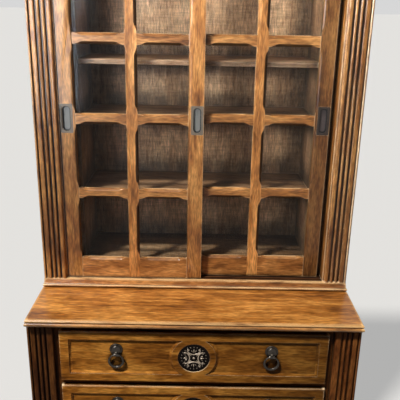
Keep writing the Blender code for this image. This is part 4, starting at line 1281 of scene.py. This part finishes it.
@dataclass
class DrawerStack(Fitting):
    """The chest's drawers, with their carved and cast fittings."""

    count: int = 3
    # The dovetails' spacing and length, then half a pin's width and its taper as shares of the spacing.
    dovetail: float = 0.0245
    lap: float = 0.014
    pin_half: float = 0.30
    pin_taper: float = -0.13
    pin_share: float = 0.7
    pin_colour: Colour = paint(112, 74, 40)
    # How far inside the box's outer faces the pins still show.
    skin_depth: float = 0.0004

    def jointed(self, node: str) -> Overlay:
        """Draw the dovetails that join a drawer's sides to its front.

        Args:
            node: The drawer box.

        Returns:
            What lays the end grain of their pins over the wood's colour.
        """
        low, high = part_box(node)

        def overlay(tree: ShaderTree, colour: Socket) -> Socket:
            """Lay the pins over a colour."""
            x, y, z = tree.axes(tree.own_place())
            along = tree.calc("DIVIDE", tree.calc("SUBTRACT", y, low[1]), self.lap)
            row = tree.calc("FRACT", tree.calc("DIVIDE", tree.calc("SUBTRACT", z, low[2]), self.dovetail))
            off = tree.calc("ABSOLUTE", tree.calc("SUBTRACT", row, 0.5))
            half = tree.calc("MULTIPLY_ADD", along, self.pin_taper, self.pin_half)
            within = tree.calc("LESS_THAN", off, half)
            near = tree.calc("LESS_THAN", along, 1.0)
            outer = tree.calc("GREATER_THAN", tree.calc("ABSOLUTE", x), high[0] - self.skin_depth)
            return tree.blend(tree.times(within, near, outer, self.pin_share), colour, self.pin_colour)

        return overlay

    def build(self) -> None:
        """Dress the drawers and make their fittings."""
        for number in range(1, self.count + 1):
            self.dresser.dress_wood(f"drawer_{number}_front", DRAWER_FACE, Grain.WIDE, angle=30.0)
            box = f"drawer_{number}_box"
            self.dresser.coat_wood(box, DRAWER, Grain.DEEP, overlay=self.jointed(box))
            Rosette(self.dresser, number).build()
            for side in SIDES:
                pull = RingPull(self.dresser, number, side)
                pull.rose()
                pull.ring()


@dataclass
class BackNails(Fitting):
    """The nails that hold a back panel to its case."""

    panel: str
    spacing: float = 0.125
    inset: float = 0.012
    head: float = 0.0028
    proud: float = 0.0005

    def outline(self) -> Mesh:
        """Lay the line that the nails follow.

        Returns:
            A mesh of four edges, just inside the panel's edge.
        """
        low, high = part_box(self.panel)
        left, right = low[0] + self.inset, high[0] - self.inset
        foot, top = low[2] + self.inset, high[2] - self.inset
        mesh = bpy.data.meshes.new(f"{self.panel}_line")
        corners = [(x, high[1], z) for x, z in ((left, foot), (right, foot), (right, top), (left, top))]
        mesh.from_pydata(corners, [(0, 1), (1, 2), (2, 3), (3, 0)], [])
        return mesh

    def build(self) -> None:
        """Drive the nails of the panel, as one piece."""
        nodes = ShapeTree(f"{self.panel}_nail_tree")
        line = nodes.add("GeometryNodeMeshToCurve", {0: nodes.given})
        spots = nodes.add("GeometryNodeCurveToPoints", {0: line, "Length": self.spacing}, mode="LENGTH")
        disc = nodes.add("GeometryNodeMeshCylinder", {
            "Vertices": 14, "Radius": self.head, "Depth": self.proud})
        heads = nodes.add("GeometryNodeInstanceOnPoints", {
            "Points": spots, "Instance": nodes.add("GeometryNodeTransform", {
                "Geometry": disc, "Rotation": LYING, "Translation": FRONT * (self.proud / 2)})})
        piece = nodes.run(f"{self.panel}_nails", self.outline(), (heads,),
                          STEEL.material(self.dresser.next_seed()))
        smooth_below(piece.data, degrees=40.0)
        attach(piece, body_of_node(self.panel))
        LOG.info("nailed %s, %d faces", self.panel, len(piece.data.polygons))


@dataclass(frozen=True)
class SoftBox:
    """An upright soft lamp near the object."""

    name: str
    place: Triple
    aim: Triple
    watts: float
    size: Pair
    tint: Triple
    spread: float = 46.0
    # Whether it lights surfaces, and doesn't only show as a sheen on gloss.
    lights: bool = True


@dataclass
class Studio:
    """The floor, the lamps, the surroundings and the camera."""

    # The floor's tint, its tone as it is seen and as it lights the object, then the share and the
    # strength of its own glow.
    floor_tint: Colour = (1.0, 1.0, 0.99, 1.0)
    floor_tone: float = 0.86
    floor_bounce: float = 0.07
    floor_glow: float = 0.60
    floor_shine: float = 0.72
    floor_reach: float = 300.0
    ambient: float = 0.035
    ambient_tint: Colour = (1.0, 0.985, 0.965, 1.0)
    backdrop: float = 0.68
    boxes: tuple[SoftBox, ...] = (
        SoftBox("softbox", place=(-1.05, -1.72, 2.2), aim=(0.0, -0.03, 2.13), watts=7.5, size=(0.8, 1.0),
                tint=(0.95, 0.97, 1.0)),
        SoftBox("sheen", place=(-1.06, -1.75, 1.75), aim=(-0.5, -0.03, 1.7), watts=17.0, size=(0.6, 1.3),
                tint=(0.86, 0.92, 1.0), spread=120.0, lights=False),
        SoftBox("side", place=(-2.0, -0.72, 1.95), aim=(0.3, -0.05, 1.95), watts=2.6, size=(0.8, 0.9),
                tint=(0.95, 0.96, 1.0)))
    # The key lamp: the direction from the object to it, its strength, its width in degrees, and its tint.
    key_side: Triple = (-0.80, -0.9, 1.95)
    key_strength: float = 3.5
    key_angle: float = 6.0
    key_tint: Triple = (1.0, 0.96, 0.90)
    key_distance: float = 5.0
    # The camera: its place, its focal length and the picture's width in pixels, and its turns in degrees.
    eye: Triple = (0.004, -1.9417, 1.7428)
    focal: float = 584.2
    picture: float = 400.0
    sensor: float = 36.0
    pitch: float = 18.267
    yaw: float = 0.229
    roll: float = 1.068

    def seen(self, tree: NodeTree) -> Socket:
        """Tell what the camera, metal and glass see from what lights the object.

        Args:
            tree: The nodes that this joins.

        Returns:
            The socket that is 1 for camera, glossy and transmission rays.
        """
        path = tree.node("ShaderNodeLightPath", {}).outputs
        looking = tree.calc("MAXIMUM", path["Is Camera Ray"], path["Is Glossy Ray"])
        return tree.calc("MAXIMUM", looking, path["Is Transmission Ray"])

    def floor(self) -> None:
        """Lay the pale floor under the object."""
        low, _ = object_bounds()
        mesh = bpy.data.meshes.new("studio_floor")
        reach = self.floor_reach
        corners = [(x * reach, y * reach, low[2]) for x, y in ((-1, -1), (1, -1), (1, 1), (-1, 1))]
        mesh.from_pydata(corners, [], [(0, 1, 2, 3)])
        tree = ShaderTree("studio_floor")
        share = self.seen(tree)
        bounce = (*(self.floor_bounce,) * 3, 1.0)
        tone = (*(self.floor_tone * part for part in self.floor_tint[:3]), 1.0)
        colour = tree.blend(share, bounce, tone)
        shader = tree.add("ShaderNodeBsdfPrincipled", {
            "Base Color": colour, "Roughness": 0.9, "Specular IOR Level": 0.0})
        pale = tree.add("ShaderNodeEmission", {
            "Color": self.floor_tint, "Strength": self.floor_shine})
        glow = tree.times(share, self.floor_glow)
        mixed = tree.add("ShaderNodeMixShader", {0: glow, 1: shader, 2: pale})
        mesh.materials.append(tree.close(mixed))
        new_object("studio_floor", mesh)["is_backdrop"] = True

    def surroundings(self) -> None:
        """Light the object evenly from all round and show a pale backdrop."""
        world = bpy.data.worlds.new("studio_world")
        world.use_nodes = True
        bpy.context.scene.world = world
        tree = NodeTree(world.node_tree)
        tree.nodes.clear()
        light = tree.add("ShaderNodeBackground", {0: self.ambient_tint, 1: self.ambient})
        shown = tree.add("ShaderNodeBackground", {0: WHITE, 1: self.backdrop})
        mixed = tree.add("ShaderNodeMixShader", {0: self.seen(tree), 1: light, 2: shown})
        tree.node("ShaderNodeOutputWorld", {0: mixed})

    def lamp(self, name: str, kind: str, energy: float, tint: Triple, towards: Vector) -> Piece:
        """Make a lamp.

        Args:
            name: The lamp's name.
            kind: Its kind.
            energy: How bright it is.
            tint: Its colour.
            towards: The direction from what it lights to the lamp.

        Returns:
            The lamp, turned but not yet in its place.
        """
        data = bpy.data.lights.new(name, kind)
        data.energy = energy
        data.color = tint
        lamp = new_object(name, data)
        lamp.rotation_euler = towards.to_track_quat("Z", "Y").to_euler()
        return lamp

    def lamps(self) -> None:
        """Stand the soft boxes near the object and hang the key lamp far away."""
        for box in self.boxes:
            lamp = self.lamp(box.name, "AREA", box.watts, box.tint, Vector(box.place) - Vector(box.aim))
            lamp.location = box.place
            lamp.data.shape = "RECTANGLE"
            lamp.data.size, lamp.data.size_y = box.size
            lamp.data.spread = math.radians(box.spread)
            lamp.visible_camera = False
            lamp.visible_diffuse = box.lights
        key = self.lamp("key", "SUN", self.key_strength, self.key_tint, Vector(self.key_side))
        key.data.angle = math.radians(self.key_angle)
        key.location = Vector(self.key_side).normalized() * self.key_distance

    def camera(self) -> None:
        """Set the camera where the photograph was taken."""
        pitch, yaw, roll = (math.radians(turn) for turn in (self.pitch, self.yaw, self.roll))
        ahead = Vector((math.sin(yaw) * math.cos(pitch), math.cos(yaw) * math.cos(pitch), -math.sin(pitch)))
        level = Vector((math.cos(yaw), -math.sin(yaw), 0.0))
        above = level.cross(ahead)
        right = level * math.cos(roll) + above * math.sin(roll)
        up = above * math.cos(roll) - level * math.sin(roll)
        data = bpy.data.cameras.new("camera")
        data.sensor_width = self.sensor
        data.lens = self.focal / self.picture * self.sensor
        data.clip_end = 3 * self.floor_reach
        eye = new_object("camera", data)
        eye.matrix_world = Matrix.Translation(self.eye) @ Matrix((right, up, -ahead)).transposed().to_4x4()
        bpy.context.scene.camera = eye

    def build(self) -> None:
        """Set up the whole studio."""
        self.floor()
        self.surroundings()
        self.lamps()
        self.camera()
        bpy.context.scene.view_settings.view_transform = "Standard"
        LOG.info("studio is set")


def main() -> None:
    """Dress the cabinet from the floor up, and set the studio."""
    logging.basicConfig(level=logging.INFO, format="%(name)s: %(message)s")
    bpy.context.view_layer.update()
    dresser = Dresser()
    ChestCase(dresser).build()
    DrawerStack(dresser).build()
    HutchCase(dresser).build()
    SlidingDoor(dresser, "left", ("outer", "inner"), outer_shade=0.92, inner_shade=1.08).build()
    SlidingDoor(dresser, "right", ("outer",), outer_shade=0.49, pull_metal=DARK_FLUSH).build()
    for panel in ("base_back", "hutch_back"):
        BackNails(dresser, panel).build()
    Studio().build()


if __name__ == "__main__":
    main()
